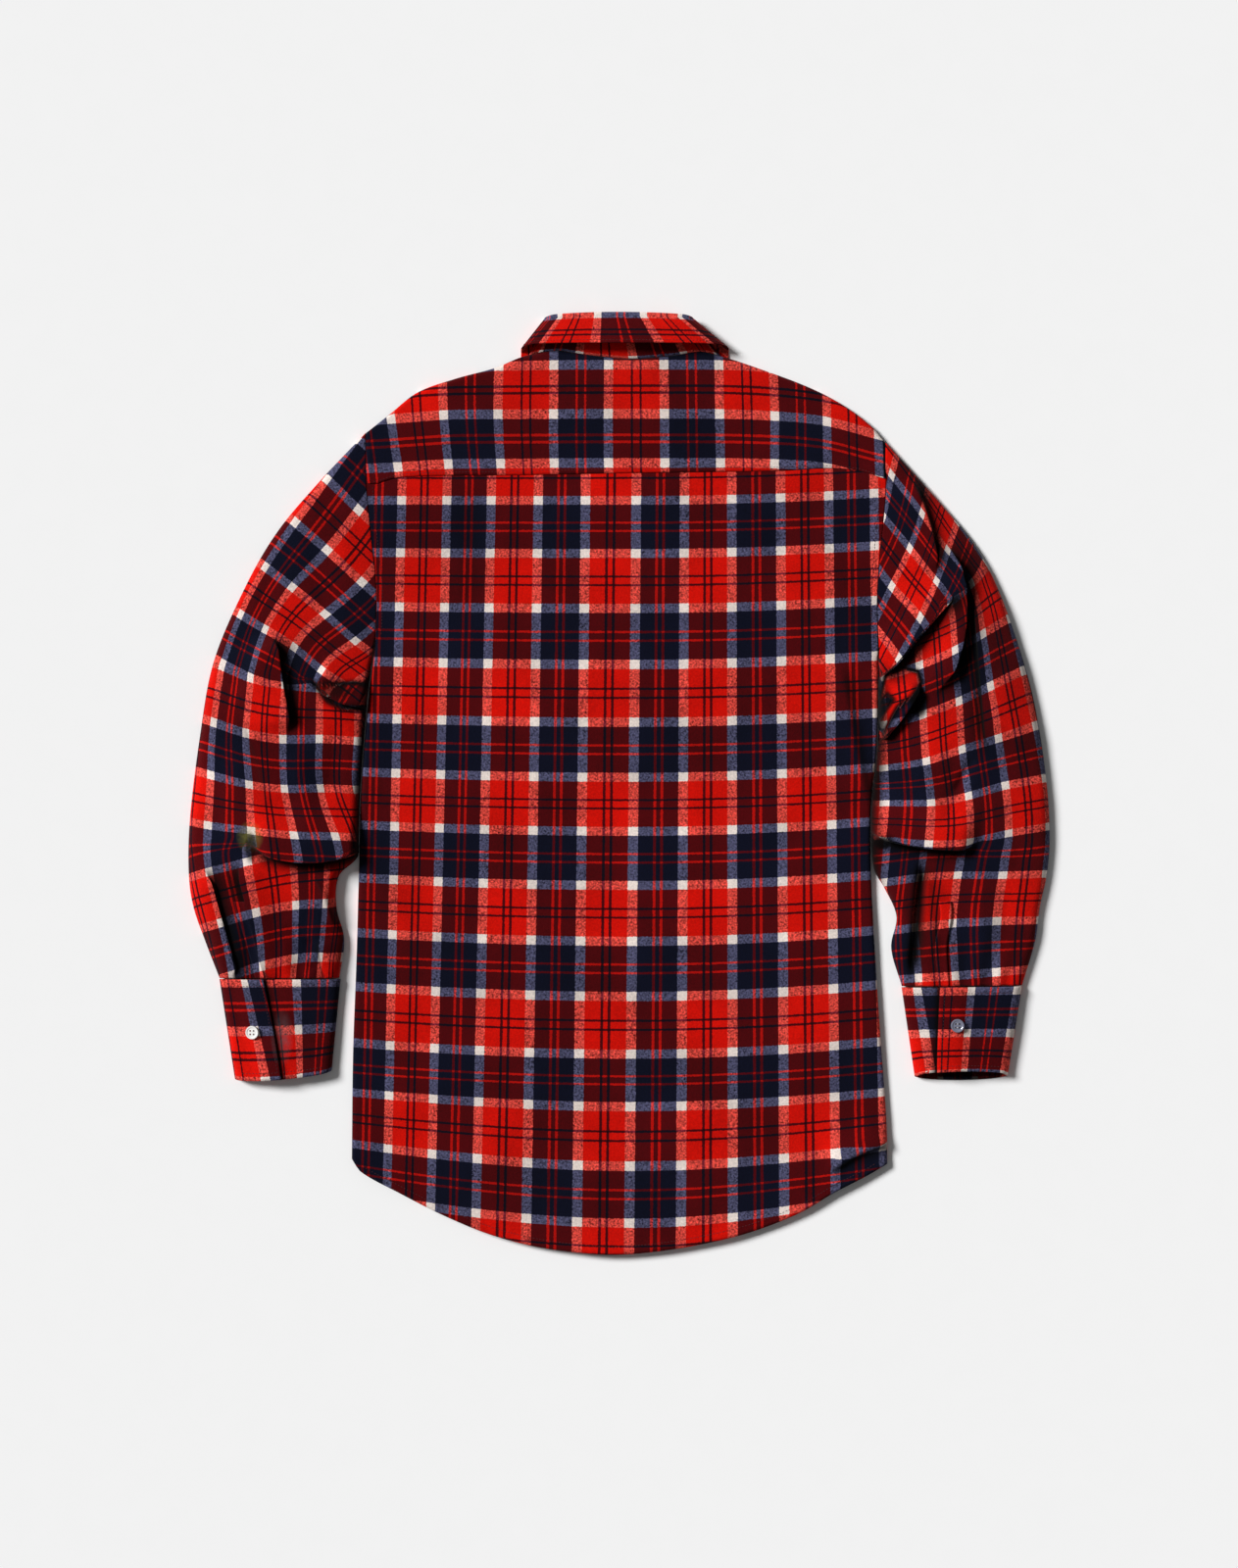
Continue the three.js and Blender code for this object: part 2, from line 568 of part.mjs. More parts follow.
// The ways up the stand and out of it, both square to the fold. Out is up from the surface at the
// back, sideways at the sides and down at the front.
function collarFrame(angle) {
  const along = collarFold(angle + 3).sub(collarFold(angle - 3)).normalize();
  const up = collarFold(angle).sub(collarBase(angle)).normalize();
  up.addScaledVector(along, -up.dot(along)).normalize();
  return { up, out: along.cross(up) };
}

const standPoint = (angle, v) => collarBase(angle).lerp(collarFold(angle), v);

function leafEdge(angle) {
  const s = Math.sin(radians(angle));
  const c = Math.cos(radians(angle));
  if (c >= 0) {
    const y = LEAF.edgeY - LEAF.sideDrop * (1 - c) ** 4;
    return new THREE.Vector3(NECK.x + LEAF.halfWidth * s, y, LEAF.backZ * c ** LEAF.backLift);
  }
  const point = ease(LEAF.pointFrom, LEAF.ends, Math.abs(angle));
  const wide = LEAF.halfWidth - LEAF.widen * c;
  const x = NECK.x + wide * s + Math.sign(s) * LEAF.spread * point;
  const y = LEAF.edgeY - LEAF.sideDrop + (NECK.depth + LEAF.reach) * c - LEAF.point * point;
  return new THREE.Vector3(x, y, 0);
}

// The leaf rolls over the top of the stand (v from 0 to 1) and falls to its outer edge (1 to 2)
function leafPoint(angle, v) {
  const { up, out } = collarFrame(angle);
  const radius = mix(ROLL.front, ROLL.back, ease(ROLL.from, ROLL.to, Math.abs(angle)));
  const turn = Math.PI * Math.min(v, 1);
  const rolled = collarFold(angle)
    .addScaledVector(up, SEAM + radius * Math.sin(turn))
    .addScaledVector(out, radius - CLOTH - radius * Math.cos(turn));
  if (v <= 1) return rolled;
  const share = v - 1;
  const edge = leafEdge(angle);
  const front = ease(COLLAR_TURN.leafFrom, COLLAR_TURN.leafTo, Math.abs(angle));
  const z = mix(mix(rolled.z, edge.z, share), mix(edge.z, rolled.z, (1 - share) ** 4), front);
  return rolled.lerp(edge, share).setZ(z);
}

function leafGuide(angle, v) {
  const { up, out } = collarFrame(angle);
  const turn = Math.PI * Math.min(v, 1);
  return up.multiplyScalar(Math.sin(turn)).addScaledVector(out, -Math.cos(turn));
}

// A four-hole button: a turned disc with a raised rim, and four holes through it
function buttonGeometry(rimSides, holeSides) {
  const { radius: rim, thickness, dish, bevel, draft } = BUTTON;
  const profile = [
    [0, 0], [rim - bevel, 0], [rim, bevel], [rim - draft, thickness],
    [rim - BUTTON.rim, thickness], [rim - BUTTON.well, thickness - dish], [0, thickness - dish],
  ].map(([radius, height]) => new THREE.Vector2(radius, height));
  let button = solid(new THREE.LatheGeometry(profile, rimSides).rotateX(Math.PI / 2));
  for (const [sx, sy] of [[1, 1], [-1, 1], [-1, -1], [1, -1]]) {
    const hole = new THREE.CylinderGeometry(BUTTON.holeRadius, BUTTON.holeRadius, BUTTON.radius, holeSides)
      .rotateX(Math.PI / 2)
      .translate(sx * BUTTON.holeOffset, sy * BUTTON.holeOffset, 0);
    button = button.subtract(solid(hole));
  }
  return geometryOf(button);
}

function addBody() {
  const backUs = [-1, -0.5, ...steps(0, 1, 14), 1.5, 2];
  add('back', wall(backUs, steps(0, 1, 20), backPoint, { facing: -1 }), CLOTH_RED);
  const shoulderEnds = [SHOULDER[0].x, SHOULDER.at(-1).x];
  const neckXs = NECK_ANGLES.filter((angle) => angle && angle <= 90)
    .map((angle) => NECK.halfWidth * Math.sin(radians(angle)));
  const yokeUs = [
    ...steps(shoulderEnds[0], NECK_SIDES.left, 6).slice(0, -1),
    ...neckXs.toReversed().map((x) => NECK.x - x), NECK.x, ...neckXs.map((x) => NECK.x + x),
    ...steps(NECK_SIDES.right, shoulderEnds[1], 6).slice(1),
  ].map((x) => (x - shoulderEnds[0]) / (shoulderEnds[1] - shoulderEnds[0]));
  const yokeVs = [-1, -0.5, 0, 0.2, 0.45, 0.72, 1];
  add('yoke', wall(yokeUs, yokeVs, yokePoint, { facing: -1 }), CLOTH_NAVY);

  const frontVs = [-1, -0.5, 0, ...steps(0.07, 1, 13)];
  const inwards = NECK_ANGLES.filter((angle) => angle > 90)
    .map((angle) => NECK.halfWidth * (Math.sin(radians(angle)) - 1));
  const starts = {
    left: PLACKET_HALF + SEAM + NECK_SIDES.left - CENTRE_X,
    right: -UNDERLAP_REACH + CENTRE_X - NECK_SIDES.right,
  };
  for (const [side, facing] of [['left', -1], ['right', 1]]) {
    const before = inwards.filter((distance) => distance > starts[side]).toReversed();
    const us = [starts[side], ...before, 0, 0.25, 0.5, 0.75, 1, 1.5, 2];
    add(`front_${side}`, wall(us, frontVs, (u, v) => frontPoint(side, u, v), { facing }), CLOTH_RED);
  }
}

function addPlacket() {
  const point = (u, v) => {
    const x = CENTRE_X + u;
    return new THREE.Vector3(x, mix(necklineY(x) - SEAM, hemY(x) + HEM_STEP, v), PLACKET_Z);
  };
  add('front_placket', wall([-PLACKET_HALF, 0, PLACKET_HALF], steps(0, 1, 12), point), CLOTH_NAVY);
}

// The sleeve placket is a strip round the slit, made from the sleeve's own points, moved out
const SLEEVE_ROWS = 23;
const SLEEVE_TOP = steps(0, 1, 11);
const SLEEVE_US = [-1, -0.5, ...SLEEVE_TOP, 1.5, 2, 2.5, 3, 3.25, 3.5, 3.75, 4, 4.5];
const SLIT_ROWS = 5;

function addSleeve(side, slit) {
  const facing = side === 'left' ? -1 : 1;
  const surface = (q, t) => sleevePoint(side, q, t);
  const rows = steps(0, 1, SLEEVE_ROWS);
  const keep = (p) => {
    const over = facing * (p.x - sideX[side](p.y)) - SEAM;
    if (over < 0) p.x -= facing * over;
    return p;
  };
  const guide = (q, t) => sleeveGuide(side, q, t);
  add(`sleeve_${side}`, wall(SLEEVE_US, rows, surface, { closed: true, facing, keep, guide }), CLOTH_RED);
  const strip = wall(SLEEVE_TOP.slice(slit, slit + 2), rows.slice(-SLIT_ROWS - 1), surface, {
    facing, moved: CLOTH + SEAM,
  });
  add(`sleeve_placket_${side}`, strip, CLOTH_NAVY);
}

function addCuff(side) {
  const facing = side === 'left' ? 1 : -1;
  const surface = (q, v) => cuffSurface(side, q, v);
  const us = [...steps(0, 1, 4), 1.25, 1.5, 1.75, 2, 2.5, 3, 3.25, 3.5, 3.75, ...steps(4, 5, 4)];
  add(`cuff_${side}`, wall(us, steps(0, 1, 5), surface, { facing }), CLOTH_NAVY);

  const { along, share } = CUFFS[side].button;
  const { lap, edge } = cuffLine(side, along);
  const q = (lap - share) / (lap - edge);
  const small = 0.02;
  const alongU = surface(q + small, along).sub(surface(q - small, along));
  const alongV = surface(q, along + small).sub(surface(q, along - small));
  const normal = alongU.cross(alongV).setLength(facing);
  const button = add(`cuff_button_${side}`, buttonGeometry(28, 10), PEARL);
  button.position.copy(surface(q, along)).addScaledVector(normal, BUTTON.gap);
  button.quaternion.setFromUnitVectors(new THREE.Vector3(0, 0, 1), normal);
}

function addCollar() {
  const bothWays = (angles) => [...angles.toReversed().map((angle) => -angle), ...angles.slice(1)];
  const keep = (p, angle) => {
    const reach = neckReach(p.x, p.y) / (1 - SEAM / NECK.halfWidth);
    if (Math.abs(angle) <= 90) p.y = Math.max(p.y, shoulderY(p.x) + SEAM);
    else if (reach > 1) p.set(NECK.x + (p.x - NECK.x) / reach, NECK.y + (p.y - NECK.y) / reach, p.z);
    return p;
  };
  const standUs = bothWays([...NECK_ANGLES, STAND_END]);
  const stand = wall(standUs, steps(0, 1, 3), standPoint, {
    keep, guide: (angle) => collarFrame(angle).out, leaning: 1,
  });
  add('collar_stand', stand, CLOTH_NAVY);
  const leafUs = bothWays(NECK_ANGLES.filter((angle) => angle <= LEAF.ends));
  const leafVs = [0, 0.33, 0.66, 1, 1.2, 1.4, 1.65, 2];
  const leaf = wall(leafUs, leafVs, leafPoint, {
    facing: -1, guide: leafGuide, keep: (p) => p.setZ(Math.max(p.z, 0)),
  });
  add('collar_leaf', leaf, CLOTH_RED);
}

function addFrontButtons() {
  const z = PLACKET_Z - FRONT_BUTTONS.gap - BUTTON.thickness;
  const first = NECK.y - NECK.depth - FRONT_BUTTONS.below;
  const gaps = FRONT_BUTTONS.count - 1;
  const places = steps(first, first - gaps * FRONT_BUTTONS.pitch, gaps);
  places.forEach((y, i) => {
    const button = add(`front_button_${i + 1}`, buttonGeometry(14, 4), PEARL);
    button.position.set(CENTRE_X, y, z);
  });
  const neckButton = add('neck_button', buttonGeometry(14, 4), PEARL);
  const neckY = (NECK.y - NECK.depth + FOLD.sideY - FOLD.frontDrop) / 2;
  neckButton.position.set(FRONT_BUTTONS.neckX, neckY, z);
}

addBody();
addPlacket();
addSleeve('left', 3);
addSleeve('right', 7);
addCuff('left');
addCuff('right');
addCollar();
addFrontButtons();

export default shirt;
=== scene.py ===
# A red, navy and white plaid flannel shirt, laid flat on its front with its back upwards.

import math

import bmesh
import bpy
import numpy as np
from bpy.props import FloatProperty, FloatVectorProperty, PointerProperty
from bpy.types import Operator, Panel, PropertyGroup
from mathutils import Matrix, Vector


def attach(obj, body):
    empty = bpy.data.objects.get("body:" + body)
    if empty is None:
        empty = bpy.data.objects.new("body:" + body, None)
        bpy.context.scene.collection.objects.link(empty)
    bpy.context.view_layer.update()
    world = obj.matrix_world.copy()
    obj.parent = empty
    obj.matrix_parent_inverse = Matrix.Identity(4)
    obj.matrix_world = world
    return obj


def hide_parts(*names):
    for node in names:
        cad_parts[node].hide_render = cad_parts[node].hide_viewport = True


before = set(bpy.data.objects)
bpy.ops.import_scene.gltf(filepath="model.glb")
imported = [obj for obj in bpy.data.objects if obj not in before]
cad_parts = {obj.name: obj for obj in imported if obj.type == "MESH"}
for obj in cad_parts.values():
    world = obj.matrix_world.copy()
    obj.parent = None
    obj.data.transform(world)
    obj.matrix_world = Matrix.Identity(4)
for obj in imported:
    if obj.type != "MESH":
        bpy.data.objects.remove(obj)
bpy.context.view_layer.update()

bl_info = {
    "name": "Flannel Shirt",
    "version": (1, 0, 0),
    "blender": (4, 5, 0),
    "location": "3D View > Sidebar > Shirt",
    "description": "Makes a plaid flannel shirt, laid flat, round its packed solids",
    "category": "Add Mesh",
}

# Shapes are worked out in millimetres: X across the shirt, Y from the hem to the collar, Z up
MM = 0.001

# Sizes shared with the solids
CLOTH = 1.5
SEAM = 0.5
BESIDE_GAP = 0.9
HEM_STEP = 4
FLAT_TOP = 6.6
LOWEST_TOP = 5.8
CENTRE_RISE = 1.3
CENTRE_SPREAD = 60
EDGE_HEIGHT = 3.8
EDGE_RADIUS = 4
SLEEVE_RADIUS = 7
CENTRE_X = 7
PLACKET_HALF = 15
PLACKET_Z = 2.4
UNDERLAP_Z = 4.2
UNDERLAP_REACH = 12
UNDERLAP_FLAT = 19
FRONT_RAMP = 62
SETTLING_ROUNDS = 6


class Place:
    """Named sizes that belong together."""

    def __init__(self, **sizes):
        self.__dict__.update(sizes)


class Table:
    """Rows of sizes under named columns."""

    def __init__(self, names, *rows):
        self.names = names.split()
        self.columns = {name: np.array(column, float) for name, column in zip(self.names, zip(*rows))}
        self.rows = [Place(**dict(zip(self.names, row))) for row in rows]

    def __getitem__(self, name):
        return self.columns[name]

    def curve(self, along, column):
        """A smooth curve through the rows, which gives one column for any value of another."""
        order = np.argsort(self[along])
        at = self[along][order]
        value = self[column][order]
        after = np.minimum(np.arange(len(at)) + 1, len(at) - 1)
        before = np.maximum(np.arange(len(at)) - 1, 0)
        slope = (value[after] - value[before]) / (at[after] - at[before])

        def read(where):
            place = np.clip(where, at[0], at[-1])
            i = np.clip(np.searchsorted(at, place) - 1, 0, len(at) - 2)
            span = at[i + 1] - at[i]
            s = (place - at[i]) / span
            ends = (2 * s**3 - 3 * s**2 + 1) * value[i] + (3 * s**2 - 2 * s**3) * value[i + 1]
            return ends + span * ((s**3 - 2 * s**2 + s) * slope[i] + (s**3 - s**2) * slope[i + 1])

        return read


NECK = Place(x=5, y=364, half_width=81, depth=79, lift=1.95, lift_to=1.62, fade_to=1.95)
FOLD = Place(x=0, half_width=62, back_y=394.7, side_y=391, front_drop=76, back_z=12, side_z=7)
LEAF = Place(edge_y=371.5, side_drop=5, half_width=88, back_z=22, reach=14, point=26, spread=14, ends=166)
ROLL = Place(back=3.2, front=1.65)
STAND_END = 187

# Sides of the body, left and right as seen from above
SIDES = {
    "left": Table(
        "y x", (297, -214), (249, -213), (207, -209), (166, -205), (124, -206), (71, -212), (-5, -218),
        (-74, -220), (-146, -222), (-229, -225), (-317, -226),
    ),
    "right": Table(
        "y x", (289, 225), (245, 225), (191, 220), (154, 218), (106, 219), (56, 219), (19, 217),
        (-17, 213), (-71, 213), (-133, 216), (-212, 221), (-281, 226), (-321, 227),
    ),
}
UNDERARM = {"left": 120, "right": 106}
UNDERARM_BLEND = 12
AWAY = {"left": -1, "right": 1}

SHOULDER = Table(
    "x y", (-214, 297), (-195, 312), (-171, 331), (-138, 343), (-105, 352), (-80, 362), (-52, 366),
    (-38, 364), (-16, 361), (11, 359), (47, 362), (68, 365), (86, 362), (117, 352), (162, 335),
    (192, 319), (214, 302), (225, 289),
)
YOKE_SEAM = Table(
    "x y", (-205, 255), (-188, 260), (-142, 262), (-109, 262), (15, 264), (138, 266), (173, 268),
    (201, 266), (225, 259),
)
HEM = Table(
    "x y", (-226, -317), (-218, -328), (-187, -345), (-154, -362), (-117, -378), (-80, -389),
    (-44, -395), (-5, -398), (33, -395), (75, -388), (114, -378), (154, -362), (181, -346),
    (210, -331), (227, -321),
)

# Sleeve sections from the armhole to the cuff
SLEEVES = {
    "left": Table(
        "at outer_x outer_y clear inner_y rise",
        (0, -214, 297, 0, 120, 0), (1, -256, 253, 0, 100, 3), (2, -290, 212, 0, 79, 6),
        (3, -317, 165, 0, 54, 8), (4, -343, 103, 0, 12, 9), (5, -355, 37, 0, -27, 10),
        (6, -363, -30, 0, -60, 10), (7, -364, -75, 16, -78, 9), (8, -360, -104, 17, -104, 8),
        (9, -350, -133, 10, -132, 7), (10, -338, -164, 13, -164, 5),
    ),
    "right": Table(
        "at outer_x outer_y clear inner_y rise",
        (0, 225, 289, 0, 106, 0), (1, 273, 236, 0, 83, 3), (2, 300, 203, 0, 62, 6),
        (3, 319, 169, 0, 33, 8), (4, 337, 120, 0, 0, 9), (5, 351, 70, 0, -29, 10),
        (6, 361, 8, 0, -52, 10), (7, 364.3, -42, 2, -73, 9), (8, 362, -76, 10, -88, 8),
        (9, 356, -104, 19, -112, 7), (10, 352, -133, 13, -139, 7), (11, 341, -170, 20, -171, 5),
    ),
}
SLIT = {"left": 3, "right": 7}

CUFFS = {
    "left": Table(
        "v outer_x outer_y inner_x inner_y lap",
        (0, -338, -165, -235.5, -165, 0.37), (1, -325, -249, -243, -242, 0.49),
    ),
    "right": Table(
        "v outer_x outer_y inner_x inner_y lap",
        (0, 341, -171, 239, -172, 0.69), (1, 329, -246, 250, -247, 0.77),
    ),
}
CUFF_SHAPE = {
    "left": Place(rise=4, mouth=0, bow=4),
    "right": Place(rise=5.5, mouth=8, bow=4),
}
CUFF_OVERLAP = 0.15
CUFF_STEP = 1.9
CUFF_TOP = 7.8

# The largest folds. Each runs from its first point to its second, bowed to its left, and stands high
# on its left: rise is its height, steep the width of its drop, gentle that of its slope, and hang how
# far its crest leans over the drop. The line is where the crest shows from above. Its last two sizes
# give how wide and how dark the painted shade in the valley under it is.
FOLD_COLUMNS = "x1 y1 x2 y2 bow rise steep gentle hang valley dark"
FOLDS = {
    "sleeve_left": Table(
        FOLD_COLUMNS,
        (-273, 40, -287, 128, 2, 7, 5, 26, 7, 9, 0.95), (-260, 86, -205, 65, -8, 6, 4.5, 16, 7, 4, 0.8),
        (-320, 60, -293, -26, 4, 3, 6, 20, 2, 6, 0.35), (-315, -55, -202, -51, -14, 9, 5, 24, 8, 6, 0.95),
        (-317, -176, -348, -65, 0, 5, 4, 12, 5, 9, 0.9), (-325, -60, -296, -176, 0, 6, 4, 14, 5, 9, 0.85),
        (-258, -74, -240, -122, 3, 4, 5, 12, 2, 3, 0.5), (-254, -131, -249, -170, 0, 3, 3, 9, 2, 3, 0.6),
    ),
    "sleeve_right": Table(
        FOLD_COLUMNS,
        (271, 71, 281, 207, -17, 9, 5, 13, 8, 13, 0.85), (220, 80, 294, 168, 2, 9, 5, 20, 8, 9, 0.95),
        (217, 31, 258, 88, -4, 8, 4.5, 12, 6, 6, 0.95), (270, 173, 249, 261, -5, 5, 4, 18, 5, 8, 0.8),
        (298, 169, 310, 18, 0, 5, 5, 20, 4, 8, 0.85), (206, -43, 306, -56, -5, 9, 5, 24, 8, 6, 0.9),
        (257, -60, 248, -166, 0, -7, 4, 4, 0, 6, 0.97), (262, -72, 277, -154, -2, -1, 6, 6, 0, 8, 0.45),
    ),
    "back": Table(
        FOLD_COLUMNS,
        (-129, 262, -122, 140, 0, -1, 14, 14, 0, 12, 0.15), (213, -25, 188, 105, 2, 1.2, 8, 14, 1, 6, 0.75),
        (176, -330, 232, -303, 4, 4, 5, 16, 3, 6, 0.7),
    ),
}
FOLD_FADE = 0.2

# Where a crest leans over its drop and where its low side starts, as shares of the drop's width
LEAN = Place(middle=0.15, width=0.8)
LOW_SIDE = Place(start=0.3, end=-0.6)
SHADOW_FALL = 1.5

# Soft creases between the folds, ridges where rise is over 0 and troughs where it is under 0
CREASES = Table(
    "x1 y1 x2 y2 bow rise steep gentle",
    (-150, 240, -158, 60, 4, -0.7, 10, 14), (-60, 250, -66, 120, 3, 0.5, 12, 12),
    (60, 255, 52, 90, -3, 0.5, 14, 10), (128, 262, 134, 150, 0, -0.6, 9, 12),
    (176, 240, 168, 90, 4, 0.8, 8, 16), (-190, 200, -180, 40, 2, 0.7, 9, 12),
    (-205, 20, -120, -10, 3, -0.6, 12, 16), (210, -20, 130, -60, -4, -0.6, 12, 18),
    (-100, -40, -130, -200, 6, 0.6, 14, 18), (40, -60, 60, -220, -6, -0.6, 16, 14),
    (120, -150, 96, -330, 5, 0.6, 12, 20), (-180, -180, -160, -320, 3, -0.7, 12, 14),
    (-40, -230, -20, -380, 4, 0.6, 12, 14), (180, -190, 200, -300, 4, -0.8, 10, 12),
    (-262, 220, -250, 130, 4, -1.4, 9, 14), (-300, 130, -322, 60, 3, 1.6, 8, 12),
    (-240, 60, -250, -20, 4, -1.8, 7, 12), (-275, 30, -262, -50, 3, 1.8, 9, 9),
    (-335, 30, -345, -50, 2, -1.2, 8, 10), (-330, -90, -318, -150, 2, 1.4, 7, 10),
    (-262, -128, -258, -160, 0, -2.2, 5, 6), (-285, -110, -280, -160, 2, 1.2, 7, 9),
    (-250, -85, -262, -160, 3, 1.4, 7, 8), (320, 100, 340, 20, 2, 1.4, 9, 12),
    (280, 40, 276, -40, 4, -2.0, 7, 12), (250, 20, 262, -40, 3, 1.8, 8, 10),
    (330, -10, 336, -80, 2, -1.2, 9, 9), (300, -60, 306, -150, 2, 1.6, 8, 10),
    (325, -80, 318, -160, 3, -1.4, 7, 9), (268, -80, 262, -150, 2, 1.8, 6, 8),
    (299, 23, 283, -10, 0, -3, 4, 5), (-262, 84, -225, 80, 2, -3, 3, 5),
    (-292, 190, -305, 140, 2, -1.0, 8, 10), (-228, 240, -236, 180, 2, 1.0, 9, 9),
)

# Long slow waves of cloth that doesn't lie quite flat
WAVES = Table(
    "length angle start height",
    (118, 8, 0.4, 0.28), (76, 96, 1.9, 0.22), (53, 31, 3.2, 0.14), (41, 140, 0.8, 0.10), (27, 75, 2.3, 0.06),
)


def mix(a, b, share):
    return a + (b - a) * share


def ease(start, end, value):
    """0 below the first value, 1 past the second, and smooth between."""
    share = np.clip((value - start) / (end - start), 0, 1)
    return share * share * (3 - 2 * share)


def steps(start, end, count):
    return np.linspace(start, end, count + 1)


def spans(*parts):
    """Steps through several spans in a row, each given by its start, its end and its count."""
    return np.concatenate([steps(*parts[0])] + [steps(*part)[1:] for part in parts[1:]])


def xy(place):
    return place[..., 0], place[..., 1]


def gaussian(distance, width):
    """1 in the middle, and fading to nothing past the width."""
    return np.exp(-((distance / width) ** 2))


def sine_cosine(angle):
    return np.sin(np.radians(angle)), np.cos(np.radians(angle))


side_x = {side: table.curve("y", "x") for side, table in SIDES.items()}
shoulder_y = SHOULDER.curve("x", "y")
yoke_seam_y = YOKE_SEAM.curve("x", "y")
hem_y = HEM.curve("x", "y")


def fold_place(fold, x, y):
    """How far a point lies to the high side of a fold, and how much of the fold reaches it."""
    dx = fold.x2 - fold.x1
    dy = fold.y2 - fold.y1
    length = math.hypot(dx, dy)
    along = ((x - fold.x1) * dx + (y - fold.y1) * dy) / length**2
    fade = ease(0, FOLD_FADE, along) * ease(1, 1 - FOLD_FADE, along)
    left = ((y - fold.y1) * dx - (x - fold.x1) * dy) / length
    away = left - fold.bow * 4 * along * (1 - along)
    return away, fade, (dy / length, -dx / length)


def fold_height(fold, x, y, hang=0):
    away, fade, _ = fold_place(fold, x, y)
    away = away - hang
    width = np.where(away > 0, fold.gentle, fold.steep)
    return fold.rise * fade * gaussian(away, width)


def top_height(panel, x, y):
    """Height of the upper layer's outer face, before its edges turn down."""
    height = FLAT_TOP + CENTRE_RISE * gaussian(x - CENTRE_X, CENTRE_SPREAD)
    folds = [fold_height(fold, x, y, fold.hang) for fold in FOLDS[panel].rows]
    height = height + np.maximum(np.maximum.reduce(folds), 0) + np.minimum(np.minimum.reduce(folds), 0)
    height = height + sum(fold_height(crease, x, y) for crease in CREASES.rows)
    for wave in WAVES.rows:
        across = x * math.cos(math.radians(wave.angle)) + y * math.sin(math.radians(wave.angle))
        height = height + wave.height * np.sin(2 * math.pi * across / wave.length + wave.start)
    return height


def leaned(panel, x, y):
    """Moves the crests of a panel's folds over their drops."""
    moved_x, moved_y = x, y
    for fold in FOLDS[panel].rows:
        if fold.hang:
            away, fade, (nx, ny) = fold_place(fold, x, y)
            past = away - fold.hang - fold.steep * LEAN.middle
            reach = fold.hang * fade * gaussian(past, fold.steep * LEAN.width)
            moved_x = moved_x + nx * reach
            moved_y = moved_y + ny * reach
    return moved_x, moved_y


def shadow(distance, reach):
    """How dark a shadow is at a distance from where it starts."""
    return np.exp(-((np.abs(distance) / reach) ** SHADOW_FALL))


def valley_shade(panel, x, y, seen_x, seen_y):
    """How dark the painted shade in the valleys under a panel's folds is, from 0 to 1."""
    shade = 0 * x
    for fold in FOLDS[panel].rows:
        away, fade, _ = fold_place(fold, x, y)
        seen = fold_place(fold, seen_x, seen_y)[0]
        low_side = 1
        if fold.rise > 0:
            low_side = ease(LOW_SIDE.start * fold.steep, LOW_SIDE.end * fold.steep, away - fold.hang)
            seen = np.minimum(seen, 0)
        shade = np.maximum(shade, fold.dark * fade * low_side * shadow(seen, fold.valley))
    return shade


def turned(place, width, radius):
    """A strip of cloth that turns round an edge at each end. Places -1 to 0 go round the first edge,
    0 to 1 lie between, and 1 to 2 go round the second. Gives the distance from the first edge, the
    share of the full height, and the distance as it would be with the edges opened flat."""
    turn = np.where(place < 0, -place, np.maximum(place - 1, 0))
    angle = (1 - turn) * math.pi / 2
    reach = radius * (1 - np.cos(angle))
    opened = radius - radius * turn * math.pi / 2
    between = radius + place * (width - 2 * radius)
    at = np.where(place < 0, reach, np.where(place > 1, width - reach, between))
    flat = np.where(place < 0, opened, np.where(place > 1, width - opened, between))
    return at, np.sin(angle), flat


def side_fold(side, y):
    above = np.clip((y - UNDERARM[side]) / UNDERARM_BLEND, 0, 1)
    return 1 - np.sqrt(1 - (1 - above) ** 2)


def points(x, y, z):
    return np.stack(np.broadcast_arrays(x, y, z), -1) * 1.0


# Plaid charts. Places in the photograph are pixels, and a zone of the plaid runs from each white
# stripe to the next: it is red after a stripe of even number and navy after one of odd number.
PHOTO = Place(scale=0.83, x=631.5, y=800)
WARP_PITCH = 41.5
WEFT_PITCH = 47.0


def from_photo(px, py):
    return (np.asarray(px, float) - PHOTO.x) * PHOTO.scale, (PHOTO.y - np.asarray(py, float)) * PHOTO.scale


def to_photo(x, y):
    return x / PHOTO.scale + PHOTO.x, PHOTO.y - y / PHOTO.scale


BACK_STRIPES = Table(
    "number upper lower",
    (-4, 410, 397), (-3, 456, 442), (-2, 501, 488), (-1, 549, 539), (0, 597, 590), (1, 649, 643),
    (2, 698, 695), (3, 746, 747), (4, 796, 799), (5, 845, 851), (6, 891, 900),
)
BACK_STRIPE_ROWS = Place(upper=511, lower=1125)
BACK_ROWS = Table(
    "number py", (-2, 457), (-1, 511), (0, 565), (1, 621), (2, 678), (3, 737), (4, 793), (5, 848),
    (6, 903), (7, 960), (8, 1016), (9, 1075), (10, 1128), (11, 1189), (12, 1247), (13, 1303),
)
BACK_ROW_BOWS = Table(
    "py left right",
    (500, 0.0, 0.00012), (1100, 0.00015, 0.0002), (1189, 0.00032, 0.00034), (1300, 0.0005, 0.0008),
)
BACK_MIDDLE = 645


def straight(where, at, value):
    """Reads between the rows of a table, and goes straight on past its ends."""
    read = np.interp(where, at, value)
    low = (where - at[0]) * (value[1] - value[0]) / (at[1] - at[0])
    high = (where - at[-1]) * (value[-1] - value[-2]) / (at[-1] - at[-2])
    return read + np.where(where < at[0], low, 0) + np.where(where > at[-1], high, 0)


